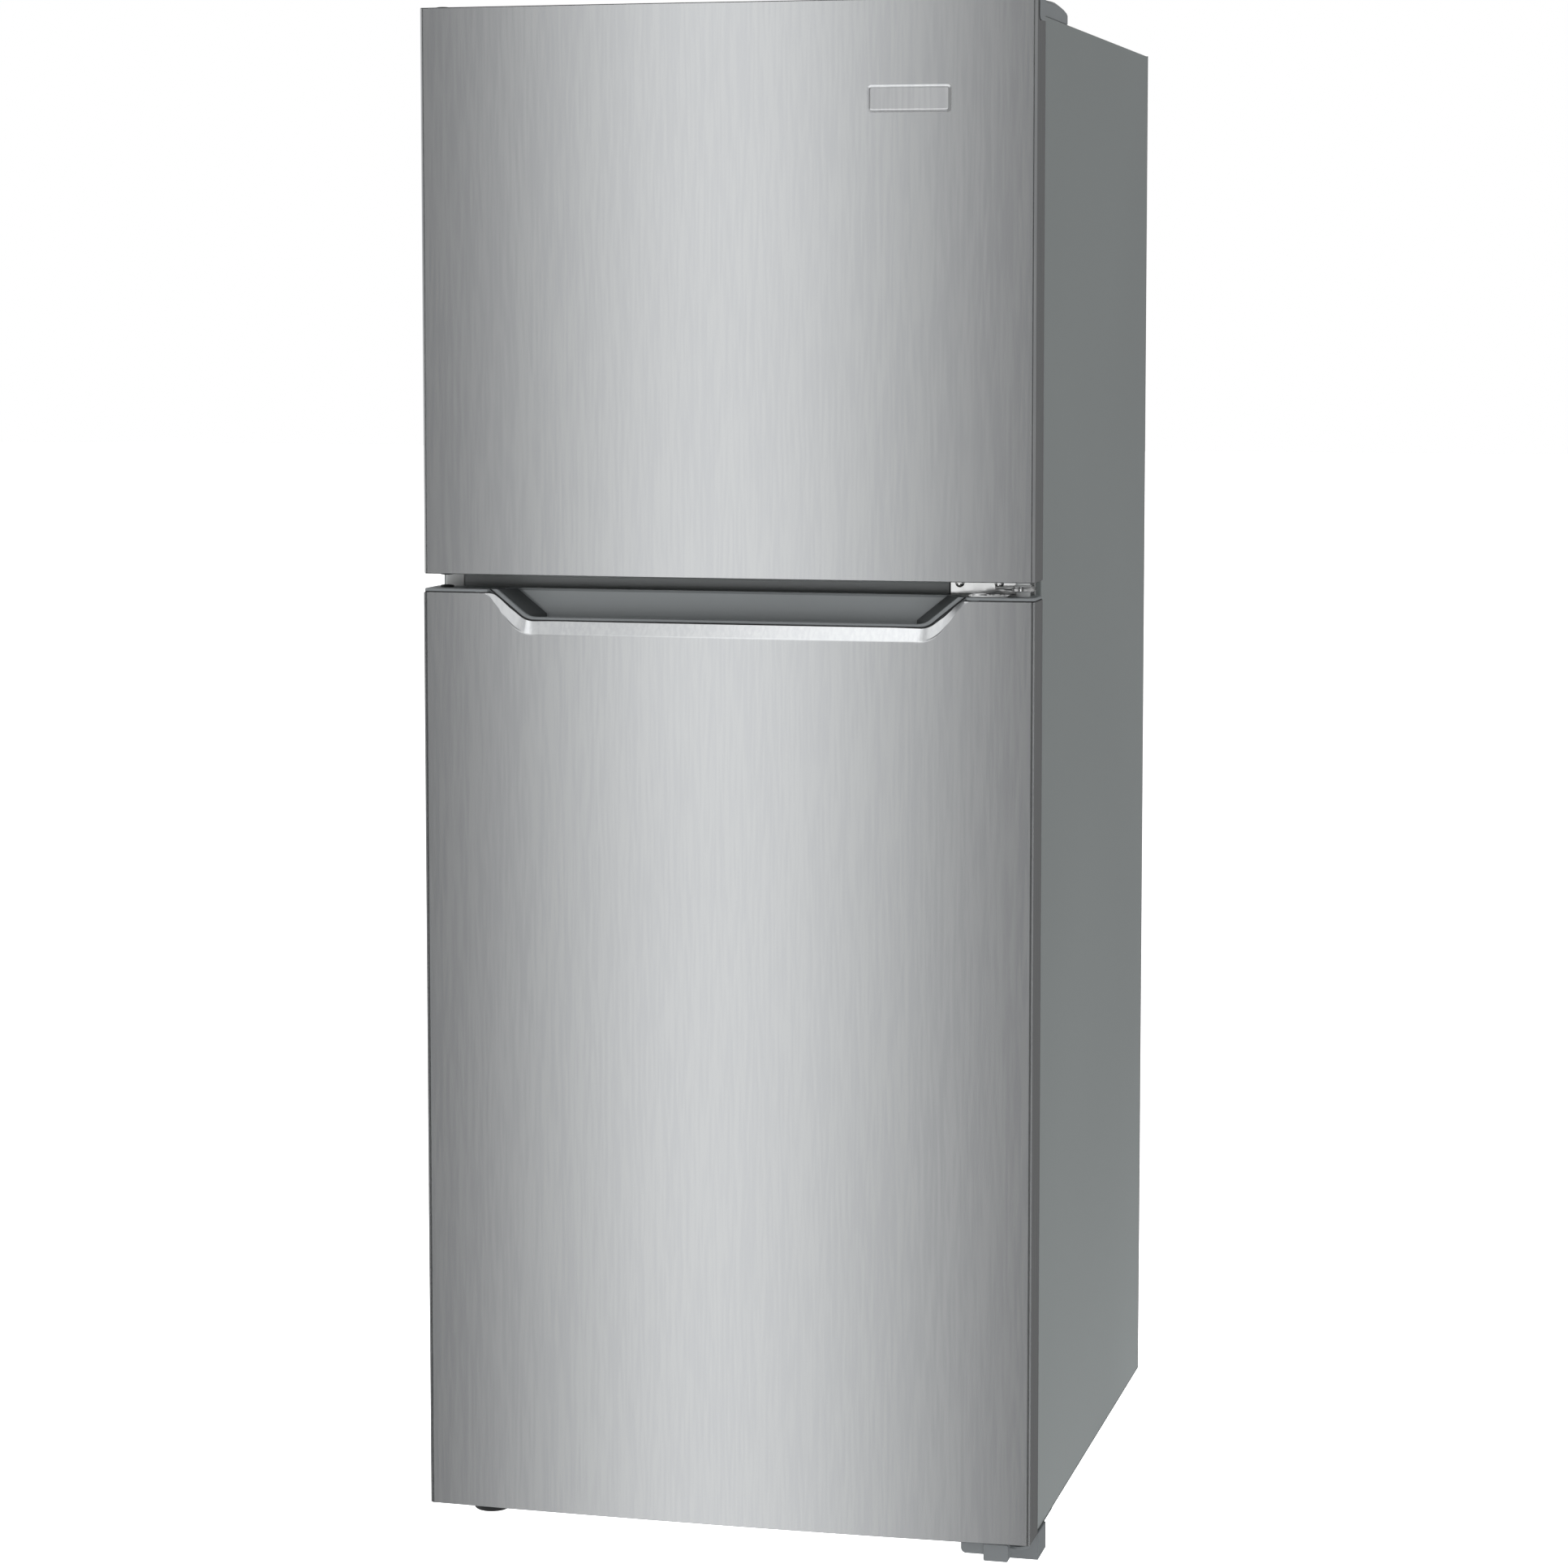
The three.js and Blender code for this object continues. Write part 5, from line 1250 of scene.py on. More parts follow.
@dataclass
class FridgeDoor:
    """Lower door, with a pocket handle pressed into the top of its sheet."""

    rim: float = 3 * MM
    seam: float = 0.8 * MM
    drop: float = 30 * MM
    half_bottom: float = 198 * MM
    half_top: float = 235 * MM
    bevel_drop: float = 43 * MM
    bevel_half: float = 203 * MM
    corner: float = 20 * MM
    bevel_corner: float = 34 * MM
    crest: float = 12 * MM
    draft: float = 13 * MM
    trough: float = 18 * MM
    back_top: float = 28 * MM
    back_foot: float = 23 * MM

    @property
    def slope(self) -> float:
        """How far the pocket's ends move outwards for each unit upwards."""
        return (self.half_top - self.half_bottom) / self.drop

    def build(self) -> None:
        """Make the door's pieces."""
        self.form = DoorForm.of("fridge_door_skin")
        self.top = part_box("fridge_door_top_cap")[1][2]
        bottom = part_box("fridge_door_bottom_cap")[0][2]
        self.sheet_top = self.top - self.rim - self.seam
        edge, press = self._edge(0.0), self._press()
        stations = sorted({x for x, _ in edge} | {x for x, _ in press})
        span = (bottom + 0.8 * MM, self.sheet_top)
        Skin(
            self.form, "fridge_door_skin", "fridge_door", span, self._height_along(edge),
            self._height_along(press), stations
        ).build()
        Gasket("fridge_door_gasket", "fridge_door").build()
        self._cap()
        self._lining()

    def _edge(self, by: float, top: float | None = None) -> Outline:
        """Upper edge of the sheet from one side of the door to the other, moved by a distance."""
        level = self.sheet_top if top is None else top
        floor = self.top - self.drop - by
        side = self.half_bottom + by * 0.6
        reach = side + self.slope * (level - floor)
        corners = [
            (-self.form.half, level), (-reach, level), (-side, floor), (side, floor), (reach, level),
            (self.form.half, level)
        ]
        return filleted(
            corners, (0.0, self.crest, self.corner, self.corner, self.crest, 0.0), 8, closed=False
        )

    def _press(self) -> Outline:
        """Outer edge of the pressed bevel, which runs out at the pocket's upper corners."""
        floor = self.top - self.bevel_drop
        corners = [
            (-self.form.half, self.sheet_top), (-self.half_top, self.sheet_top), (-self.bevel_half, floor),
            (self.bevel_half, floor), (self.half_top, self.sheet_top), (self.form.half, self.sheet_top)
        ]
        radii = (0.0, self.crest / 2, self.bevel_corner, self.bevel_corner, self.crest / 2, 0.0)
        return filleted(corners, radii, 8, closed=False)

    @staticmethod
    def _height_along(line: Outline) -> Callable[[float], float]:
        """Height of a line above any place along X."""

        def height(x: float) -> float:
            """Height at one place."""
            for (x0, z0), (x1, z1) in zip(line, line[1:]):
                if x0 <= x <= x1 and x1 > x0:
                    return z0 + (z1 - z0) * (x - x0) / (x1 - x0)
            return line[-1][1]

        return height

    def _ring(
        self, by: float, depth: Callable[[float], float], draft: float = 0.0, sink: float = 0.0
    ) -> list[Point]:
        """One line round the pocket, from its upper left end to its upper right end.

        Args:
            by: How far outside the pocket's edge it runs.
            depth: Place along Y for each place along X.
            draft: How much the ends close in.
            sink: How far the floor lies below the edge.

        Returns:
            The line's points.
        """
        top = self.top - 0.1 * MM
        floor = self.top - self.drop - by
        side = self.half_bottom + by - draft
        reach = side + self.slope * (top - floor)
        corners = [(-reach, top), (-side, floor), (side, floor), (reach, top)]
        line = filleted(corners, max(self.corner - draft * 0.3, 4 * MM), 8, closed=False)
        low = floor + 2 * MM
        sunk = [(x, z - sink if z < low else z) for x, z in line]
        return [(x, depth(x), z) for x, z in sunk]

    def _lining(self) -> None:
        """Make the moulded lining of the pocket: a thin rim, drafted ends, a trough and a leaning back."""
        form, sheet = self.form, 6.5 * MM

        def behind(offset: float) -> Callable[[float], float]:
            """A line that follows the pressed edge at an offset."""
            return lambda x: form.face(min(abs(x), self.half_bottom)) + sheet * 0.9 + offset

        def level(depth: float) -> Callable[[float], float]:
            """A line at one depth behind the door's front corners."""
            return lambda x: form.front + depth

        rim = Workpiece().loft(
            [
                self._ring(1.0 * MM, behind(1.2 * MM)), self._ring(-1.2 * MM, behind(1.2 * MM)),
                self._ring(-1.2 * MM, behind(0.3 * MM)), self._ring(-1.6 * MM, behind(0.0)),
                self._ring(-3.2 * MM, behind(0.0)), self._ring(-3.7 * MM, behind(0.5 * MM)),
                self._ring(-3.9 * MM, behind(3.0 * MM))
            ],
            closed=False
        )
        rim.thicken(0.4 * MM, (0.0, -1.0, 0.5)).piece(
            "pocket_rim", Finish.COVER_PLASTIC, "fridge_door", sharp=50.0
        )
        # A black tube along the pocket's upper edge: a painted shadow line where the groove's shade falls.
        path = self._ring(-0.6 * MM, behind(0.3 * MM))
        Workpiece().tube(path, 0.6 * MM, 6).piece(
            "pocket_seal", Finish.BLACK_PLASTIC, "fridge_door", sharp=80.0
        )
        walls = Workpiece().loft(
            [
                self._ring(-3.7 * MM, behind(1.2 * MM)), self._ring(-3.9 * MM, behind(3.0 * MM)),
                self._ring(-4.2 * MM, behind(4.5 * MM), 1.0 * MM, 6 * MM),
                self._ring(-4.2 * MM, level(12 * MM), 5 * MM, self.trough),
                self._ring(-4.2 * MM, level(self.back_foot), self.draft, self.trough)
            ],
            closed=False
        )
        walls.thicken(1.5 * MM, (0.0, 0.0, 1.0)).piece(
            "pocket_walls", Finish.CAP_PLASTIC, "fridge_door", sharp=50.0
        )
        self._back()

    def _back(self) -> None:
        """Make the pocket's back, which leans away towards its top and has a bevel along each end."""
        rows = []
        for height, lean in (
            (-self.trough - 4 * MM, 0.0), (-self.trough, 0.0), (0.0, 0.55), (self.drop, 1.0)
        ):
            depth = self.form.front + self.back_foot + lean * (self.back_top - self.back_foot)
            reach = self.half_bottom - self.draft + self.slope * max(height, 0.0) + 3 * MM
            bevel = 9 * MM
            z = self.top - self.drop + height - 0.1 * MM
            rows.append(
                [
                    (-reach, depth - 5 * MM, z), (-reach + bevel, depth, z), (reach - bevel, depth, z),
                    (reach, depth - 5 * MM, z)
                ]
            )
        work = Workpiece().loft(rows, closed=False).thicken(2 * MM, (0.0, -1.0, 0.0))
        # The back's plastic is lightened: painted light for the shade inside the pocket.
        work.piece("pocket_back", Finish.POCKET_PLASTIC, "fridge_door", sharp=25.0)

    def _cap(self) -> None:
        """Make the rim that closes the door's top, cut away over the pocket."""
        form = self.form
        inset = 0.3 * MM
        front = form.front_path(inset)
        left = [point for point in front if point[0] < -self.half_top - 6 * MM]
        right = [point for point in front if point[0] > self.half_top + 6 * MM]
        back = form.front + form.thickness - inset
        shelf = form.front + self.back_top - 0.2 * MM
        reach = self.half_top - self.draft * 0.8
        throat = [
            (-self.half_top - 5 * MM, form.face(self.half_top, inset)),
            (-self.half_top - 0.5 * MM, form.face(self.half_top, inset) + 1.2 * MM),
            (-reach, shelf - 2 * MM), (-reach + 2 * MM, shelf)
        ]
        mirrored = [(-x, y) for x, y in reversed(throat)]
        side = form.half - inset
        outline = [(-side, back)] + left + throat + mirrored + right + [(side, back)]
        Workpiece().prism(outline, (self.top - self.rim, self.top)).piece(
            "fridge_door_top_rim", Finish.COVER_PLASTIC, "fridge_door", replaces=["fridge_door_top_cap"],
            bevel=0.7 * MM, segments=3
        )
        run = form.front_path(0.35 * MM)
        root = form.front + form.thickness - 2 * MM
        ends = {
            "left": [point for point in run if point[0] < -self.half_top - 6 * MM],
            "right": [point for point in run if point[0] > self.half_top + 6 * MM]
        }
        for name, end in ends.items():
            outline = end + [(end[-1][0], root), (end[0][0], root)]
            Workpiece().prism(outline, (self.sheet_top - 0.4 * MM, self.top - self.rim + 0.4 * MM)).piece(
                f"fridge_door_{name}_seam", Finish.BLACK_PLASTIC, "fridge_door"
            )


# ---------------------------------------------------------------- hinges, legs and rollers


@dataclass
class Hinges:
    """Bushings, washers, screws and plugs of the three hinges."""

    inset: float = 15.5 * MM
    bush_radius: float = 6.8 * MM
    washer_radius: float = 10 * MM
    pin_radius: float = 4.2 * MM
    middle_arm: tuple[float, float] = (939.7 * MM, 943.3 * MM)

    def build(self) -> None:
        """Make the small parts round the hinge axis, and those of the unused side."""
        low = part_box("middle_hinge")[0]
        self.axis = (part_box("fridge_door_skin")[1][0] - self.inset, low[1] + 11 * MM)
        self.freezer_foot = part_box("freezer_door_bottom_cap")[0][2]
        self.fridge_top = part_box("fridge_door_top_cap")[1][2]
        self._middle()
        self._plugs()
        self._screws()
        self._closer()
        self._stop()
        self._foot()

    def _stop(self) -> None:
        """Make the stepped stop under the lower door, with its rounded corner."""
        low, high = corners_of("door_stop")
        step = low.x + 22 * MM
        depth = (low.y, low.y + 10 * MM)
        shelf = rectangle((low.x, high.z - 11.3 * MM), (step + 2 * MM, high.z))
        work = Workpiece().prism(filleted(shelf, (5 * MM, 0.5 * MM, 0.5 * MM, 0.5 * MM), 6), depth, "y")
        block = rectangle((step, low.z), (high.x, high.z - 0.4 * MM))
        work.prism(filleted(block, 1.6 * MM, 5), (depth[0] - 1.2 * MM, depth[1]), "y")
        foot = rectangle((low.x, low.y + 1 * MM), (high.x - 11 * MM, high.y))
        work.prism(filleted(foot, 3 * MM, 5), (high.z - 2.2 * MM, high.z))
        work.piece(
            "door_stop_block", Finish.HINGE_PAINT, "fridge_door", replaces=["door_stop"], bevel=0.5 * MM
        )

    def _foot(self) -> None:
        """Make the bush that carries the lower door on the bottom hinge's arm."""
        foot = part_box("fridge_door_bottom_cap")[0][2]
        profile = [
            (4.4, -4.7), (9.2, -4.7), (10, -4.2), (10, -2.6), (9.2, -2.0), (8.4, -1.8), (8.4, -0.05),
            (4.4, -0.05)
        ]
        points = stepped((0.0, foot), profile)
        Workpiece().turned(points, self.axis, steps=40, closed=True).piece(
            "fridge_foot_bush", Finish.COVER_PLASTIC, "fridge_door", sharp=50.0
        )

    def _bush(self, name: str, finish: Finish, body: str, span: tuple[float, float], flange: float) -> None:
        """Make a flanged bush between two heights; the flange lies against the arm's side at the first."""
        foot, head = span
        rise = head - foot
        lip = 1.4 * MM * math.copysign(1.0, rise)
        r, soft = self.bush_radius, 0.35 * MM
        profile = [
            (self.pin_radius, foot), (flange - soft, foot), (flange, foot + lip * 0.25),
            (flange, foot + lip * 0.75), (flange - soft, foot + lip), (r, foot + lip), (r, head),
            (self.pin_radius, head)
        ]
        work = Workpiece().turned(profile, self.axis, steps=40, closed=True)
        work.piece(name, finish, body, sharp=50.0)

    def _middle(self) -> None:
        """Make the stack on the middle pin: two bushes and a washer."""
        arm = self.middle_arm
        self._bush(
            "fridge_door_bush", Finish.BUSH_PLASTIC, "fridge_door", (arm[0], self.fridge_top), 6.9 * MM
        )
        self._bush(
            "freezer_door_bush", Finish.BUSH_PLASTIC, "freezer_door", (arm[1] + 1.2 * MM, self.freezer_foot),
            8 * MM
        )
        washer = [
            (self.pin_radius, arm[1]), (self.washer_radius, arm[1]), (self.washer_radius, arm[1] + 1.0 * MM),
            (self.pin_radius, arm[1] + 1.0 * MM)
        ]
        Workpiece().turned(washer, self.axis, steps=40, closed=True).piece(
            "middle_washer", Finish.HINGE_ZINC, "cabinet", bevel=0.2 * MM
        )

    def _plugs(self) -> None:
        """Make the snap-in plugs that close the hinge holes of the other side."""
        x = -self.axis[0]
        holes = (
            ("fridge_door_plug", "fridge_door", self.fridge_top, 1.0),
            ("freezer_foot_plug", "freezer_door", self.freezer_foot, -1.0),
            ("freezer_top_plug", "freezer_door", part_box("freezer_door_top_cap")[1][2], 1.0),
            ("fridge_foot_plug", "fridge_door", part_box("fridge_door_bottom_cap")[0][2], -1.0)
        )
        for name, body, level, way in holes:
            profile = [(0.0, 0.0), (6.8, 0.0), (6.8, 1.1), (6.2, 1.8), (4.4, 2.1), (4.1, 1.5), (0.0, 1.5)]
            points = [(r * MM, level + way * h * MM) for r, h in profile]
            Workpiece().turned(points, (x, self.axis[1]), steps=32).piece(
                name, Finish.BLACK_PLASTIC, body, sharp=40.0
            )

    def _screws(self) -> None:
        """Set the screws of the hinges."""
        low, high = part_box("middle_hinge")
        plate = -288.3 * MM
        places = [(low[0] + 9 * MM, plate, 945.5 * MM), (low[0] + 47 * MM, plate, 945.5 * MM)]
        Screws().set_in("middle_hinge_screws", Finish.HINGE_ZINC, "cabinet", places, (0.0, -1.0, 0.0), 1.25)
        low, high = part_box("top_hinge_cover")
        middle = (low[0] + high[0]) / 2
        places = [(middle - 16 * MM, high[1] - 40 * MM, high[2] - 1.5 * MM)]
        Screws().set_in("hinge_cover_screw", Finish.COVER_PLASTIC, "cabinet", places, (0.0, 0.0, 1.0))
        low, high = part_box("bottom_hinge")
        under = 24.7 * MM
        places = [
            (low[0] + dx * MM, low[1] + dy * MM, under)
            for dx, dy in ((8, 50), (8, 120), (62, 70), (62, 120))
        ]
        Screws().set_in("bottom_hinge_screws", Finish.ZINC_PLATE, "cabinet", places, (0.0, 0.0, -1.0))
        low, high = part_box("door_stop")
        places = [(low[0] + 12 * MM, low[1] + 14 * MM, low[2] + 6.2 * MM)]
        Screws().set_in("door_stop_screw", Finish.ZINC_PLATE, "fridge_door", places, (0.0, 0.0, -1.0), 0.9)

    def _closer(self) -> None:
        """Make the small plate by the pin on the lower door's end, with its stop and its two rivets."""
        top = self.fridge_top
        x = (self.axis[0] - 50 * MM, self.axis[0] - 12 * MM)
        y = (self.axis[1] - 17 * MM, self.axis[1] + 3 * MM)
        outline = filleted(rectangle((x[0], y[0]), (x[1], y[1])), 3 * MM, 5)
        work = Workpiece().prism(outline, (top - 0.1 * MM, top + 1.3 * MM))
        raised = filleted(
            rectangle((x[0] + 4 * MM, y[0] + 2 * MM), (x[0] + 16 * MM, y[1] - 6 * MM)), 2 * MM, 4
        )
        work.prism(raised, (top + 1.2 * MM, top + 2.6 * MM))
        work.piece("closer_plate", Finish.HINGE_ZINC, "fridge_door", bevel=0.35 * MM)
        places = [
            (x[0] + 22 * MM, y[0] + 7 * MM, top + 1.3 * MM), (x[1] - 6 * MM, y[0] + 8 * MM, top + 1.3 * MM)
        ]
        Screws().set_in("closer_screws", Finish.HINGE_ZINC, "fridge_door", places, (0.0, 0.0, 1.0), 0.7)


@dataclass
class Feet:
    """Levelling legs with real threads, and the rear rollers."""

    thread_radius: float = 4.8 * MM
    thread_pitch: float = 1.5 * MM
    thread_depth: float = 0.7 * MM

    def build(self) -> None:
        """Make both legs and both rollers."""
        for side in ("left", "right"):
            self._leg(side)
            self._roller(side)

    def _leg(self, side: str) -> None:
        """Make one leg: a ribbed foot, a hexagon and a helical thread."""
        node = f"{side}_leg"
        low, high = corners_of(node)
        centre = ((low.x + high.x) / 2, (low.y + high.y) / 2)
        foot = [
            (0, 0), (14.5, 0), (15.2, 0.6), (16.6, 0.6), (18, 2.0), (18, 4.6), (17.2, 5.6), (13, 6.2),
            (0, 6.2)
        ]
        work = Workpiece().turned([(r * MM, low.z + h * MM) for r, h in foot], centre, steps=48)
        corners = [math.tau * i / 6 for i in range(6)]
        hexagon = [(centre[0] + 11 * MM * math.cos(a), centre[1] + 11 * MM * math.sin(a)) for a in corners]
        work.prism(filleted(hexagon, 1 * MM, 3), (low.z + 6 * MM, low.z + 13 * MM))
        work.piece(f"{side}_leg_foot", Finish.BLACK_PLASTIC, node, replaces=[node], bevel=0.3 * MM)
        steps = 20
        turns = (high.z - low.z - 13 * MM) / self.thread_pitch
        rings = []
        for share, inset in ((0.0, 1.0), (0.25, 0.15), (0.5, 0.0), (0.75, 0.15), (1.0, 1.0)):
            ring = []
            for i in range(int(turns * steps)):
                angle = math.tau * i / steps
                radius = self.thread_radius - inset * self.thread_depth
                height = low.z + 12.2 * MM + (i / steps + share * 0.96) * self.thread_pitch
                ring.append(
                    (centre[0] + radius * math.cos(angle), centre[1] + radius * math.sin(angle), height)
                )
            rings.append(ring)
        thread = Workpiece()
        core = self.thread_radius - self.thread_depth * 0.8
        thread.turned(
            [(0.0, low.z + 12 * MM), (core, low.z + 12 * MM), (core, high.z), (0.0, high.z)], centre
        )
        inner = [
            (centre[0] + (x - centre[0]) * 0.7, centre[1] + (y - centre[1]) * 0.7, z)
            for x, y, z in rings[-1]
        ]
        thread.loft([inner] + rings + [inner], closed=False)
        thread.piece(f"{side}_leg_thread", Finish.ZINC_PLATE, node, sharp=60.0)

    def _roller(self, side: str) -> None:
        """Make one roller: a crowned tread, sunk faces and a hub."""
        node = f"{side}_roller"
        low, high = corners_of(node)
        middle = ((low.x + high.x) / 2, (low.y + high.y) / 2, (low.z + high.z) / 2)
        half = (high.x - low.x) / 2
        outer = (high.z - low.z) / 2
        bore = 3.85 * MM
        profile = [
            (bore, -half), (6.5 * MM, -half), (7 * MM, -half + 0.6 * MM), (7 * MM, -half + 2.5 * MM),
            (10 * MM, -half + 2.5 * MM), (10.4 * MM, -half + 0.8 * MM), (11.2 * MM, -half + 0.4 * MM),
            (outer - 0.7 * MM, -half + 0.6 * MM), (outer, -half + 2 * MM)
        ]
        mirrored = [(r, -h) for r, h in reversed(profile)]
        whole = [(r, middle[0] + h) for r, h in profile + mirrored]
        work = Workpiece().turned(whole, (middle[1], middle[2]), "x", 40, closed=True)
        work.piece(f"{side}_roller_wheel", Finish.BLACK_PLASTIC, node, replaces=[node], sharp=40.0)


# ---------------------------------------------------------------- cabinet and machinery


def free_mesh(work: Workpiece, name: str) -> bpy.types.Mesh:
    """Turn a workpiece into a bare mesh, as a pattern's seed."""
    bmesh.ops.remove_doubles(work.mesh, verts=work.mesh.verts, dist=1e-6)
    bmesh.ops.recalc_face_normals(work.mesh, faces=work.mesh.faces)
    data = bpy.data.meshes.new(name)
    work.mesh.to_mesh(data)
    work.mesh.free()
    return data


@dataclass
class Cabinet:
    """Rail between the doors, hinge cover, back panel, machine cover and cord gland."""

    rail_span: tuple[float, float] = (927 * MM, 957 * MM)
    rail_ends: tuple[float, float] = (-274 * MM, 209 * MM)
    rail_reach: float = 3.7 * MM
    bead_rise: float = 2.0 * MM
    louvre: tuple[float, float] = (110 * MM, 11 * MM)
    louvre_first: tuple[float, float] = (-150 * MM, 108 * MM)
    louvre_pitch: tuple[float, float] = (150 * MM, 18 * MM)

    def build(self) -> None:
        """Make the cabinet's pieces."""
        self._rail()
        self._hinge_cover()
        self._back()
        self._machine_cover()
        self._gland()

    def _rail(self) -> None:
        """Make the rail's plate, and the crowned band that shows between the doors."""
        low, high = corners_of("mullion_rail")
        front = low.y
        plate = Workpiece().block((low.x, high.y - 2 * MM, low.z), (high.x, high.y, high.z))
        plate.piece("mullion_plate", Finish.CABINET_PAINT, "cabinet", bevel=0.3 * MM)
        back = front + self.rail_reach
        foot, head = self.rail_span
        middle = (foot + head) / 2
        section = [
            (back, foot), (front + 1.2 * MM, foot), (front + 0.5 * MM, foot + 5 * MM),
            (front + 0.1 * MM, middle - 4 * MM), (front + 0.1 * MM, middle + 2 * MM),
            (front + 1.0 * MM, middle + 5 * MM), (front + 1.5 * MM, head), (back, head)
        ]
        # The band's paint is lightened: painted light for the shade in the gap between the doors.
        Workpiece().prism(filleted(section, 2.5 * MM, 5), self.rail_ends, "x").piece(
            "mullion_band", Finish.RAIL_PAINT, "cabinet", replaces=["mullion_rail"], sharp=50.0
        )

    def _hinge_cover(self) -> None:
        """Make the moulded cover over the top hinge, its rear end sloped and its tongue over the arm."""
        low, high = corners_of("top_hinge_cover")
        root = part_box("cabinet_wrap")[0][1]
        rise, run = high.z - low.z, high.y - root
        rings = []
        for along, height, slope in (
            (0.0, 0.78, 0.5), (0.6, 1.0, 5.0), (0.72, 1.0, 5.0), (0.86, 0.92, 5.0), (0.96, 0.82, 5.0),
            (0.99, 0.76, 5.0), (1.0, 0.68, 5.0)
        ):
            y, top, cut = root + along * run, low.z + height * rise, slope * MM
            corners = [
                (low.x, low.z), (high.x, low.z), (high.x, top - cut), (high.x - 1.3 * cut, top),
                (low.x + 1.3 * cut, top), (low.x, top - cut)
            ]
            rings.append([(x, y, z) for x, z in corners])
        work = Workpiece().loft(rings)
        tongue = filleted(rectangle((high.x - 37 * MM, low.y), (high.x, root + 4 * MM)), 4 * MM, 5)
        work.prism(tongue, (high.z - 1.7 * MM, high.z - 0.05 * MM))
        work.piece(
            "top_hinge_hood", Finish.COVER_PLASTIC, "cabinet", replaces=["top_hinge_cover"], bevel=0.8 * MM,
            segments=3
        )

    def _back(self) -> None:
        """Make the back panel with upright pressed beads, and its screws."""
        low, high = corners_of("back_panel")
        beads = [-0.16, 0.0, 0.16]
        half = 9 * MM
        stations = {low.x, high.x}
        for bead in beads:
            stations |= {bead + offset * half for offset in (-1.0, -0.75, -0.35, 0.35, 0.75, 1.0)}
        heights = [low.z, low.z + 60 * MM, low.z + 75 * MM, high.z - 75 * MM, high.z - 60 * MM, high.z]
        rows = []
        for row, z in enumerate(heights):
            line = []
            for x in sorted(stations):
                nearest = min(abs(x - bead) for bead in beads)
                raised = nearest < half * 0.5 and 2 <= row <= 3
                line.append((x, high.y + (self.bead_rise if raised else 0.0), z))
            rows.append(line)
        work = Workpiece().loft(rows, closed=False).thicken(0.8 * MM, (0.0, 1.0, 0.0))
        work.piece("back_panel_sheet", Finish.BACK_SHEET, "cabinet", replaces=["back_panel"], sharp=60.0)
        places = []
        for z in (low.z + 12 * MM, (low.z + high.z) / 2, high.z - 12 * MM):
            places += [(sign * (high.x - 10 * MM), high.y - 1.0 * MM, z) for sign in (-1, 1)]
        places += [
            (x, high.y - 1.0 * MM, z) for x in (-0.1, 0.1) for z in (low.z + 12 * MM, high.z - 12 * MM)
        ]
        Screws(radius=3.2 * MM).set_in(
            "back_screws", Finish.ZINC_PLATE, "cabinet", places, (0.0, 1.0, 0.0), 0.62
        )

    def _machine_cover(self) -> None:
        """Put a pressed hood over each of the machine cover's slots, and screws at its edge."""
        low, high = corners_of("machine_cover")
        half, drop = self.louvre[0] / 2, self.louvre[1]
        x, z = self.louvre_first
        rings = []
        for share, rise in ((0.0, 0.0), (0.15, 1.4), (0.5, 3.0), (0.85, 3.6), (1.0, 3.6)):
            reach = half + 3 * MM - 2 * MM * share
            crest, level = high.y + rise * MM, z + drop * (0.9 - share)
            places = (x - reach, high.y), (x - reach + 4 * MM, crest), (x + reach - 4 * MM, crest), (
                x + reach, high.y
            )
            rings.append([(across, out, level) for across, out in places])
        hood = Workpiece().loft(rings, closed=False).thicken(0.7 * MM, (0.0, 1.0, 0.0))
        values = {
            "Columns": 3, "Rows": 7, "Column step": (self.louvre_pitch[0], 0.0, 0.0),
            "Row step": (0.0, 0.0, self.louvre_pitch[1])
        }
        grid_pattern(Finish.ZINC_PLATE).grow(
            "machine_louvres", free_mesh(hood, "louvre"), Finish.ZINC_PLATE, "cabinet", values
        )
        places = [(sign * 0.285, high.y, z) for sign in (-1, 1) for z in (low.z + 14 * MM, high.z - 14 * MM)]
        places += [(0.0, high.y, high.z - 8 * MM), (0.0, high.y, low.z + 10 * MM)]
        Screws(radius=3.2 * MM).set_in(
            "machine_screws", Finish.ZINC_PLATE, "cabinet", places, (0.0, 1.0, 0.0)
        )

    def _gland(self) -> None:
        """Make the ribbed gland for the supply lead, with its bore open."""
        low, high = corners_of("cord_gland")
        centre = ((low.x + high.x) / 2, (low.z + high.z) / 2)
        profile = [
            (4.0, low.y), (7.6, low.y), (7.6, high.y - 2.4 * MM), (11.6, high.y - 2.4 * MM),
            (12, high.y - 2 * MM), (12, high.y - 1.2 * MM), (11, high.y - 0.6 * MM), (9, high.y - 0.5 * MM),
            (8.6, high.y - 0.1 * MM), (5.0, high.y), (4.0, high.y - 0.8 * MM)
        ]
        points = [(r * MM, y) for r, y in profile]
        work = Workpiece().turned(points, centre, "y", 40, closed=True)
        work.piece("cord_gland_bush", Finish.BLACK_PLASTIC, "cabinet", replaces=["cord_gland"], sharp=40.0)


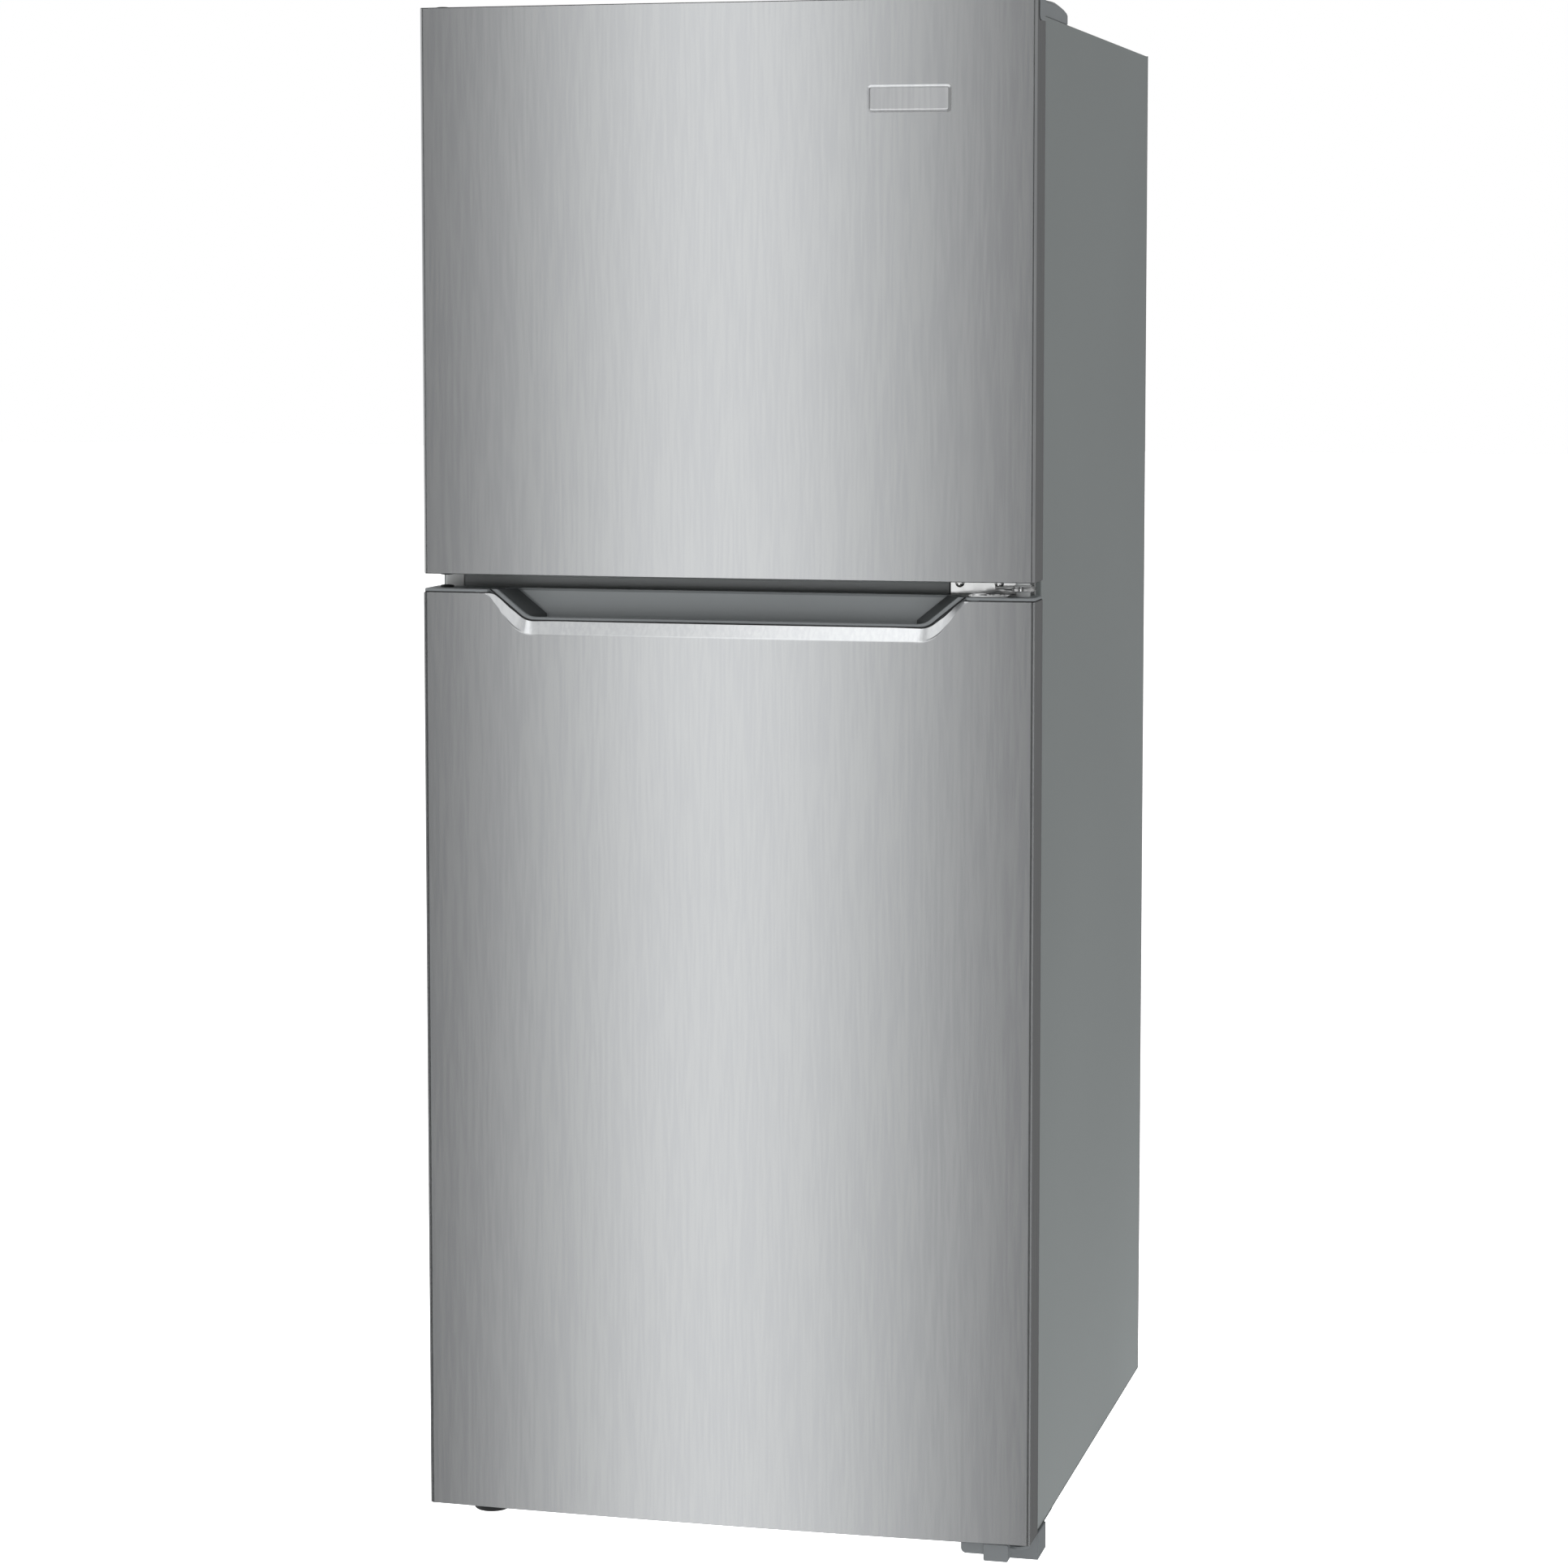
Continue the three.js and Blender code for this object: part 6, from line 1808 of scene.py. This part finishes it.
@dataclass
class Machinery:
    """Fittings of the sealed compressor and its neighbours."""

    can_radius: float = 68 * MM
    seam_height: float = 110 * MM

    def build(self) -> None:
        """Make the compressor's seam, relay box, mounts, bolts and process tube."""
        low, high = corners_of("compressor")
        centre = ((low.x + high.x) / 2, (low.y + high.y) / 2)
        r = self.can_radius
        z = low.z + self.seam_height
        seam = stepped((r, z), ((-3, 0), (-0.4, 0), (1.2, 1.0), (1.2, 2.6), (-0.6, 3.6), (-3, 3.6)))
        work = Workpiece().turned(seam, centre, steps=56, closed=True)
        work.piece("compressor_seam", Finish.BLACK_PAINT, "cabinet", sharp=60.0)
        box_x = centre[0] - r - 6 * MM
        outline = filleted(
            rectangle((box_x - 14 * MM, centre[1] - 26 * MM), (box_x + 16 * MM, centre[1] + 22 * MM)),
            5 * MM, 5
        )
        work = Workpiece().prism(outline, (low.z + 60 * MM, low.z + 108 * MM))
        work.piece("relay_box", Finish.BLACK_PLASTIC, "cabinet", bevel=1.5 * MM, segments=3)
        feet = [
            (centre[0] + i * (r + 2 * MM), centre[1] + j * (r / 2 + 5 * MM))
            for i in (-1, 1)
            for j in (-1, 1)
        ]
        work = Workpiece()
        for x, y in feet:
            profile = [
                (0.0, 0.3), (11.0, 0.3), (11.0, 4.0), (8.6, 5.0), (8.6, 7.0), (11.0, 8.0), (11.0, 12.0),
                (9.4, 14.5), (0.0, 14.5)
            ]
            work.turned(stepped((0.0, low.z), profile), (x, y), steps=28)
        work.piece("compressor_grommets", Finish.BLACK_PLASTIC, "cabinet", sharp=45.0)
        heads = [(x, y, low.z + 19 * MM) for x, y in feet]
        Screws().set_in("compressor_bolts", Finish.ZINC_PLATE, "cabinet", heads, (0.0, 0.0, 1.0), 1.7)
        side, y = centre[0] + r * 0.6, centre[1] + r * 0.55
        path = [
            (side, y, low.z + 126 * MM), (side + 10 * MM, y + 6 * MM, low.z + 134 * MM),
            (side + 22 * MM, y + 12 * MM, low.z + 136 * MM), (side + 40 * MM, y + 14 * MM, low.z + 136 * MM)
        ]
        Workpiece().tube(path, 3.2 * MM, 14).piece("process_tube", Finish.COPPER_TUBE, "cabinet", sharp=60.0)


# ---------------------------------------------------------------- inside the compartments


@dataclass
class FreezerInside:
    """Wire shelf and fan outlet of the freezer compartment."""

    wire: float = 1.9 * MM
    rim: float = 3.0 * MM
    wires: int = 30

    def build(self) -> None:
        """Make the shelf and the evaporator cover's trim."""
        self._shelf()
        self._grille()

    def _shelf(self) -> None:
        """Make the wire shelf: a row of wires bent down at the front, two rims and two stays."""
        low, high = corners_of("freezer_shelf")
        level = high.z - self.wire
        data = bpy.data.meshes.new("shelf_wires")
        points: list[Point] = []
        edges: list[tuple[int, int]] = []
        for i in range(self.wires):
            x = low.x + 6 * MM + (high.x - low.x - 12 * MM) * i / (self.wires - 1)
            first = len(points)
            points += [
                (x, low.y + self.wire + 1 * MM, low.z + 1.9 * MM), (x, low.y + 6 * MM, level),
                (x, high.y - 6 * MM, level), (x, high.y - self.wire - 1 * MM, level)
            ]
            edges += [(first + k, first + k + 1) for k in range(3)]
        data.from_pydata(points, edges, [])
        values = {"Radius": 1.3 * MM, "Sides": 8}
        wires = wire_pattern(Finish.WHITE_WIRE)
        wires.grow(
            "freezer_shelf_wires", data, Finish.WHITE_WIRE, "cabinet", values, replaces=["freezer_shelf"]
        )
        frame = bpy.data.meshes.new("shelf_rims")
        points, edges = [], []
        for y in (
            low.y + self.rim, low.y + (high.y - low.y) * 0.35, low.y + (high.y - low.y) * 0.7,
            high.y - self.rim
        ):
            first = len(points)
            points += [(low.x + 0.5 * MM, y, low.z + 2.6 * MM), (high.x - 0.5 * MM, y, low.z + 2.6 * MM)]
            edges.append((first, first + 1))
        frame.from_pydata(points, edges, [])
        values = {"Radius": 2.4 * MM, "Sides": 12}
        wires.grow("freezer_shelf_rims", frame, Finish.WHITE_WIRE, "cabinet", values)

    def _grille(self) -> None:
        """Make the raised ring round the fan's outlet, and the screws of the cover."""
        low, high = corners_of("evaporator_cover")
        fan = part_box("fan_blade")
        centre = ((fan[0][0] + fan[1][0]) / 2, (fan[0][2] + fan[1][2]) / 2)
        radius = (fan[1][2] - fan[0][2]) / 2
        front = low.y
        profile = stepped((radius, front), ((3, 0.2), (4, -2.2), (6.5, -2.8), (9, -1.6), (10, 0.2)))
        Workpiece().turned(profile, centre, "y", 56, closed=True).piece(
            "fan_outlet_ring", Finish.WHITE_PLASTIC, "cabinet", sharp=40.0
        )
        places = [
            (sign * (high.x - 12 * MM), front, z)
            for sign in (-1, 1)
            for z in (low.z + 40 * MM, high.z - 40 * MM)
        ]
        Screws().set_in("evaporator_cover_screws", Finish.ZINC_PLATE, "cabinet", places, (0.0, -1.0, 0.0))


@dataclass
class FridgeInside:
    """Dial, lamp, air duct, shelf trims and drawer front of the fresh food compartment."""

    flutes: int = 36

    def build(self) -> None:
        """Make the compartment's fittings."""
        self._knob()
        self._lamp()
        self._duct()
        self._shelf_trims()
        self._drawer()

    def _knob(self) -> None:
        """Make the fluted dial with its grip and pointer, and the scale of ticks round it."""
        low, high = corners_of("temperature_knob")
        centre = ((low.x + high.x) / 2, (low.z + high.z) / 2)
        radius = (high.x - low.x) / 2
        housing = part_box("control_housing")[0][1]
        steps = ((0, -0.3), (0, -2.2), (-0.8, -3.0), (-2.2, -3.4), (-2.6, -6.6), (-3.4, -7.2))
        shoulder = stepped((radius, housing), steps)
        skirt = [(0.0, shoulder[0][1]), *shoulder, (0.0, shoulder[-1][1])]
        work = Workpiece().turned(skirt, centre, "y", 48)
        grip = rectangle(
            (centre[0] - 3.2 * MM, centre[1] - radius + 3 * MM),
            (centre[0] + 3.2 * MM, centre[1] + radius - 3 * MM)
        )
        work.prism(filleted(grip, 2.8 * MM, 5), (low.y, housing - 6 * MM), "y")
        work.prism(
            rectangle((centre[0] - 3 * MM, housing - 12 * MM), (centre[0] + 3 * MM, housing)),
            (centre[1] - 2 * MM, centre[1] + 2 * MM)
        )
        work.piece(
            "temperature_dial", Finish.COVER_PLASTIC, "temperature_knob", replaces=["temperature_knob"],
            bevel=0.5 * MM
        )
        pointer = rectangle(
            (centre[0] - 0.7 * MM, centre[1] + 3 * MM), (centre[0] + 0.7 * MM, centre[1] + radius - 4 * MM)
        )
        Workpiece().prism(pointer, (low.y - 0.15 * MM, low.y + 1 * MM), "y").piece(
            "dial_pointer", Finish.BUSH_PLASTIC, "temperature_knob"
        )
        tick = Workpiece().block(
            (-0.45 * MM, -0.3 * MM, radius + 1.5 * MM), (0.45 * MM, 0.1 * MM, radius + 4.5 * MM)
        )
        values = {
            "Count": 9, "First angle": -2.2, "Step angle": 0.55, "Centre": (centre[0], housing, centre[1])
        }
        ring_pattern(Finish.CAP_PLASTIC, (0.0, 1.0, 0.0)).grow(
            "dial_scale", free_mesh(tick, "tick"), Finish.CAP_PLASTIC, "cabinet", values
        )
        flute = Workpiece().block(
            (-0.5 * MM, -2.9 * MM, radius - 0.5 * MM), (0.5 * MM, -0.4 * MM, radius + 0.35 * MM)
        )
        values = {
            "Count": self.flutes, "First angle": 0.0, "Step angle": math.tau / self.flutes,
            "Centre": (centre[0], housing, centre[1])
        }
        ring_pattern(Finish.COVER_PLASTIC, (0.0, 1.0, 0.0)).grow(
            "dial_flutes", free_mesh(flute, "flute"), Finish.COVER_PLASTIC, "temperature_knob", values
        )

    def _lamp(self) -> None:
        """Put a row of prisms on the lamp's lens."""
        low, high = corners_of("lamp_lens")
        count = 20
        pitch = (high.x - low.x - 8 * MM) / count
        section = [(0.0, 0.0), (pitch * 0.5, -0.9 * MM), (pitch, 0.0)]
        x = low.x + 4 * MM
        rib = Workpiece().prism(
            [(x + u, low.z + 0.02 * MM + v) for u, v in section], (low.y + 4 * MM, high.y - 4 * MM), "y"
        )
        values = {"Columns": count, "Rows": 1, "Column step": (pitch, 0.0, 0.0), "Row step": (0.0, 0.0, 0.0)}
        grid_pattern(Finish.LAMP_PLASTIC).grow(
            "lamp_prisms", free_mesh(rib, "prism"), Finish.LAMP_PLASTIC, "cabinet", values
        )

    def _duct(self) -> None:
        """Put slanted vanes in the air duct's outlets."""
        low, high = corners_of("air_duct")
        glass = [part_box(f"{name}_shelf_frame")[0][2] for name in ("lower", "upper")]
        levels = [glass[0] - 60 * MM, glass[1] - 60 * MM, high.z - 50 * MM]
        for number, level in enumerate(levels, 1):
            section = stepped((low.y, level), ((0.6, -4.2), (5, -2.4), (5, -1.8), (0.6, -3.6)))
            vane = Workpiece().prism(section, (-51.5 * MM, -12.5 * MM), "x")
            values = {
                "Columns": 2, "Rows": 3, "Column step": (64 * MM, 0.0, 0.0), "Row step": (0.0, 0.0, 3.2 * MM)
            }
            grid_pattern(Finish.WHITE_PLASTIC).grow(
                f"duct_vanes_{number}", free_mesh(vane, "vane"), Finish.WHITE_PLASTIC, "cabinet", values
            )

    def _shelf_trims(self) -> None:
        """Clip a rounded trim over the front edge of each glass shelf."""
        for name in ("lower", "upper"):
            low, high = corners_of(f"{name}_shelf_frame")
            section = [
                (low.y - 1.2 * MM, low.z + 1.5 * MM), (low.y + 9 * MM, low.z + 1.5 * MM),
                (low.y + 9 * MM, high.z + 0.4 * MM), (low.y + 6 * MM, high.z + 1.2 * MM),
                (low.y - 1.2 * MM, high.z + 1.2 * MM)
            ]
            Workpiece().prism(filleted(section, 2 * MM, 4), (low.x + 1 * MM, high.x - 1 * MM), "x").piece(
                f"{name}_shelf_trim", Finish.COVER_PLASTIC, "cabinet", sharp=50.0
            )

    def _drawer(self) -> None:
        """Put a moulded pull on the crisper's front."""
        low, high = corners_of("crisper_drawer")
        steps = ((4, -26), (0.8, -28), (0, -31), (0.6, -36), (1.6, -36), (1.4, -31), (4, -29))
        section = stepped((low.y, high.z), steps)
        Workpiece().prism(filleted(section, 0.5 * MM, 2), (-0.11, 0.11), "x").piece(
            "crisper_pull", Finish.COVER_PLASTIC, "crisper", sharp=50.0
        )


# ---------------------------------------------------------------- stage


@dataclass
class Studio:
    """Floor, light and camera."""

    lens: float = 92.43
    camera_place: Point = (0.9755, -4.0276, 1.2033)
    camera_turn: float = math.radians(13.83)
    camera_dip: float = math.radians(4.968)
    shift: tuple[float, float] = (-0.0051, -0.0792)
    floor_size: float = 60.0
    bearings: tuple[tuple[float, float], ...] = (
        (-180.0, 0.14), (-135.0, 0.75), (-70.0, 0.6), (-46.0, 0.45), (-32.0, 0.0), (-24.0, 0.0),
        (-18.7, 0.8), (-15.2, 1.75), (-11.0, 0.85), (-5.0, 0.03), (6.0, 0.05), (24.0, 0.36), (60.0, 0.28),
        (110.0, 0.33), (145.0, 0.18), (180.0, 0.14)
    )
    overhead: float = 0.62
    overhead_from: tuple[float, float] = (0.3, 0.65)

    def build(self) -> None:
        """Make the floor, the world's light and the camera."""
        bpy.context.scene.view_settings.view_transform = "Standard"
        self._floor()
        self._world()
        self._camera()

    def _camera(self) -> None:
        """Place the camera at the right, a little above the middle hinge."""
        data = bpy.data.cameras.new("camera")
        data.lens, data.sensor_width = self.lens, 36.0
        data.shift_x, data.shift_y = self.shift
        data.clip_end = 200.0
        camera = bpy.data.objects.new("camera", data)
        camera.location = self.camera_place
        camera.rotation_euler = (math.pi / 2 - self.camera_dip, 0.0, self.camera_turn)
        bpy.context.scene.collection.objects.link(camera)
        bpy.context.scene.camera = camera

    def _floor(self) -> None:
        """Lay a pale floor that the doors don't mirror; it glows, with a painted pool of light brightest
        near the refrigerator.
        """
        mesh = bpy.data.meshes.new("floor")
        s = self.floor_size / 2
        mesh.from_pydata([(-s, -s, 0), (s, -s, 0), (s, s, 0), (-s, s, 0)], [], [(0, 1, 2, 3)])
        floor = bpy.data.objects.new("floor", mesh)
        maker = NodeMaker("floor_paint")
        away = maker.add("ShaderNodeVectorMath", {"operation": "LENGTH"}, {0: maker.place}, "Value")
        # Painted pool of light: the floor's glow rises from 0.62 beyond 1.5 m to 1.8 within 0.4 m of the
        # refrigerator.
        near = away.between(1.5, 0.4)
        maker.principled(
            base_color=(0.8, 0.8, 0.8), roughness=0.9,
            emission_color=maker.mix(near, (0.62, 0.62, 0.62), (1.8, 1.8, 1.8)), emission_strength=1.0
        )
        mesh.materials.append(maker.material)
        floor.visible_glossy = False
        bpy.context.scene.collection.objects.link(floor)

    def _world(self) -> None:
        """Light the room by bearing and from overhead, and show plain white behind the object."""
        world = bpy.data.worlds.new("studio")
        world.use_nodes = True
        bpy.context.scene.world = world
        tree, links = world.node_tree, world.node_tree.links
        tree.nodes.clear()

        def node(kind: str, **settings: object) -> bpy.types.Node:
            """Add a node to the world's tree."""
            made = tree.nodes.new(kind)
            for key, value in settings.items():
                setattr(made, key, value)
            return made

        parts = node("ShaderNodeSeparateXYZ")
        ahead = node("ShaderNodeMath", operation="MULTIPLY")
        ahead.inputs[1].default_value = -1.0
        bearing = node("ShaderNodeMath", operation="ARCTAN2")
        turns = node("ShaderNodeMapRange")
        turns.inputs["From Min"].default_value, turns.inputs["From Max"].default_value = -180.0, 180.0
        degrees = node("ShaderNodeMath", operation="DEGREES")
        ramp = node("ShaderNodeValToRGB")
        ramp.color_ramp.interpolation = "EASE"
        self._fill_ramp(ramp.color_ramp)
        lit, seen = node("ShaderNodeBackground"), node("ShaderNodeBackground")
        mix, path = node("ShaderNodeMixShader"), node("ShaderNodeLightPath")
        out = node("ShaderNodeOutputWorld")
        links.new(node("ShaderNodeTexCoord").outputs["Generated"], parts.inputs["Vector"])
        links.new(parts.outputs["Y"], ahead.inputs[0])
        links.new(parts.outputs["X"], bearing.inputs[0])
        links.new(ahead.outputs[0], bearing.inputs[1])
        links.new(bearing.outputs[0], degrees.inputs[0])
        links.new(degrees.outputs[0], turns.inputs["Value"])
        links.new(turns.outputs["Result"], ramp.inputs["Fac"])
        above = node("ShaderNodeMapRange", interpolation_type="SMOOTHSTEP")
        above.inputs["From Min"].default_value, above.inputs["From Max"].default_value = self.overhead_from
        above.inputs["To Max"].default_value = self.overhead
        both = node("ShaderNodeMix", data_type="RGBA", blend_type="ADD")
        both.inputs[0].default_value = 1.0
        links.new(parts.outputs["Z"], above.inputs["Value"])
        links.new(ramp.outputs["Color"], both.inputs[6])
        links.new(above.outputs["Result"], both.inputs[7])
        links.new(both.outputs[2], lit.inputs["Color"])
        seen.inputs["Color"].default_value = (1.0, 1.0, 1.0, 1.0)
        links.new(path.outputs["Is Camera Ray"], mix.inputs["Fac"])
        links.new(lit.outputs["Background"], mix.inputs[1])
        links.new(seen.outputs["Background"], mix.inputs[2])
        links.new(mix.outputs["Shader"], out.inputs["Surface"])

    def _fill_ramp(self, ramp: bpy.types.ColorRamp) -> None:
        """Set how bright the room is towards each bearing, from straight ahead of the doors towards +X."""
        while len(ramp.elements) < len(self.bearings):
            ramp.elements.new(0.5)
        for element, (degrees, level) in zip(ramp.elements, self.bearings):
            element.position = degrees / 360 + 0.5
            element.color = (level, level, level, 1.0)


def main() -> None:
    """Load the frame, dress it, make the pieces and set the stage."""
    logging.basicConfig(level=logging.INFO, format="%(name)s: %(message)s")
    packed = PackedFrame.loaded()
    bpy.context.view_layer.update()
    packed.dress()
    packed.round_edges()
    FreezerDoor().build()
    FridgeDoor().build()
    Hinges().build()
    Feet().build()
    Cabinet().build()
    Machinery().build()
    FreezerInside().build()
    FridgeInside().build()
    Studio().build()


if __name__ == "__main__":
    main()
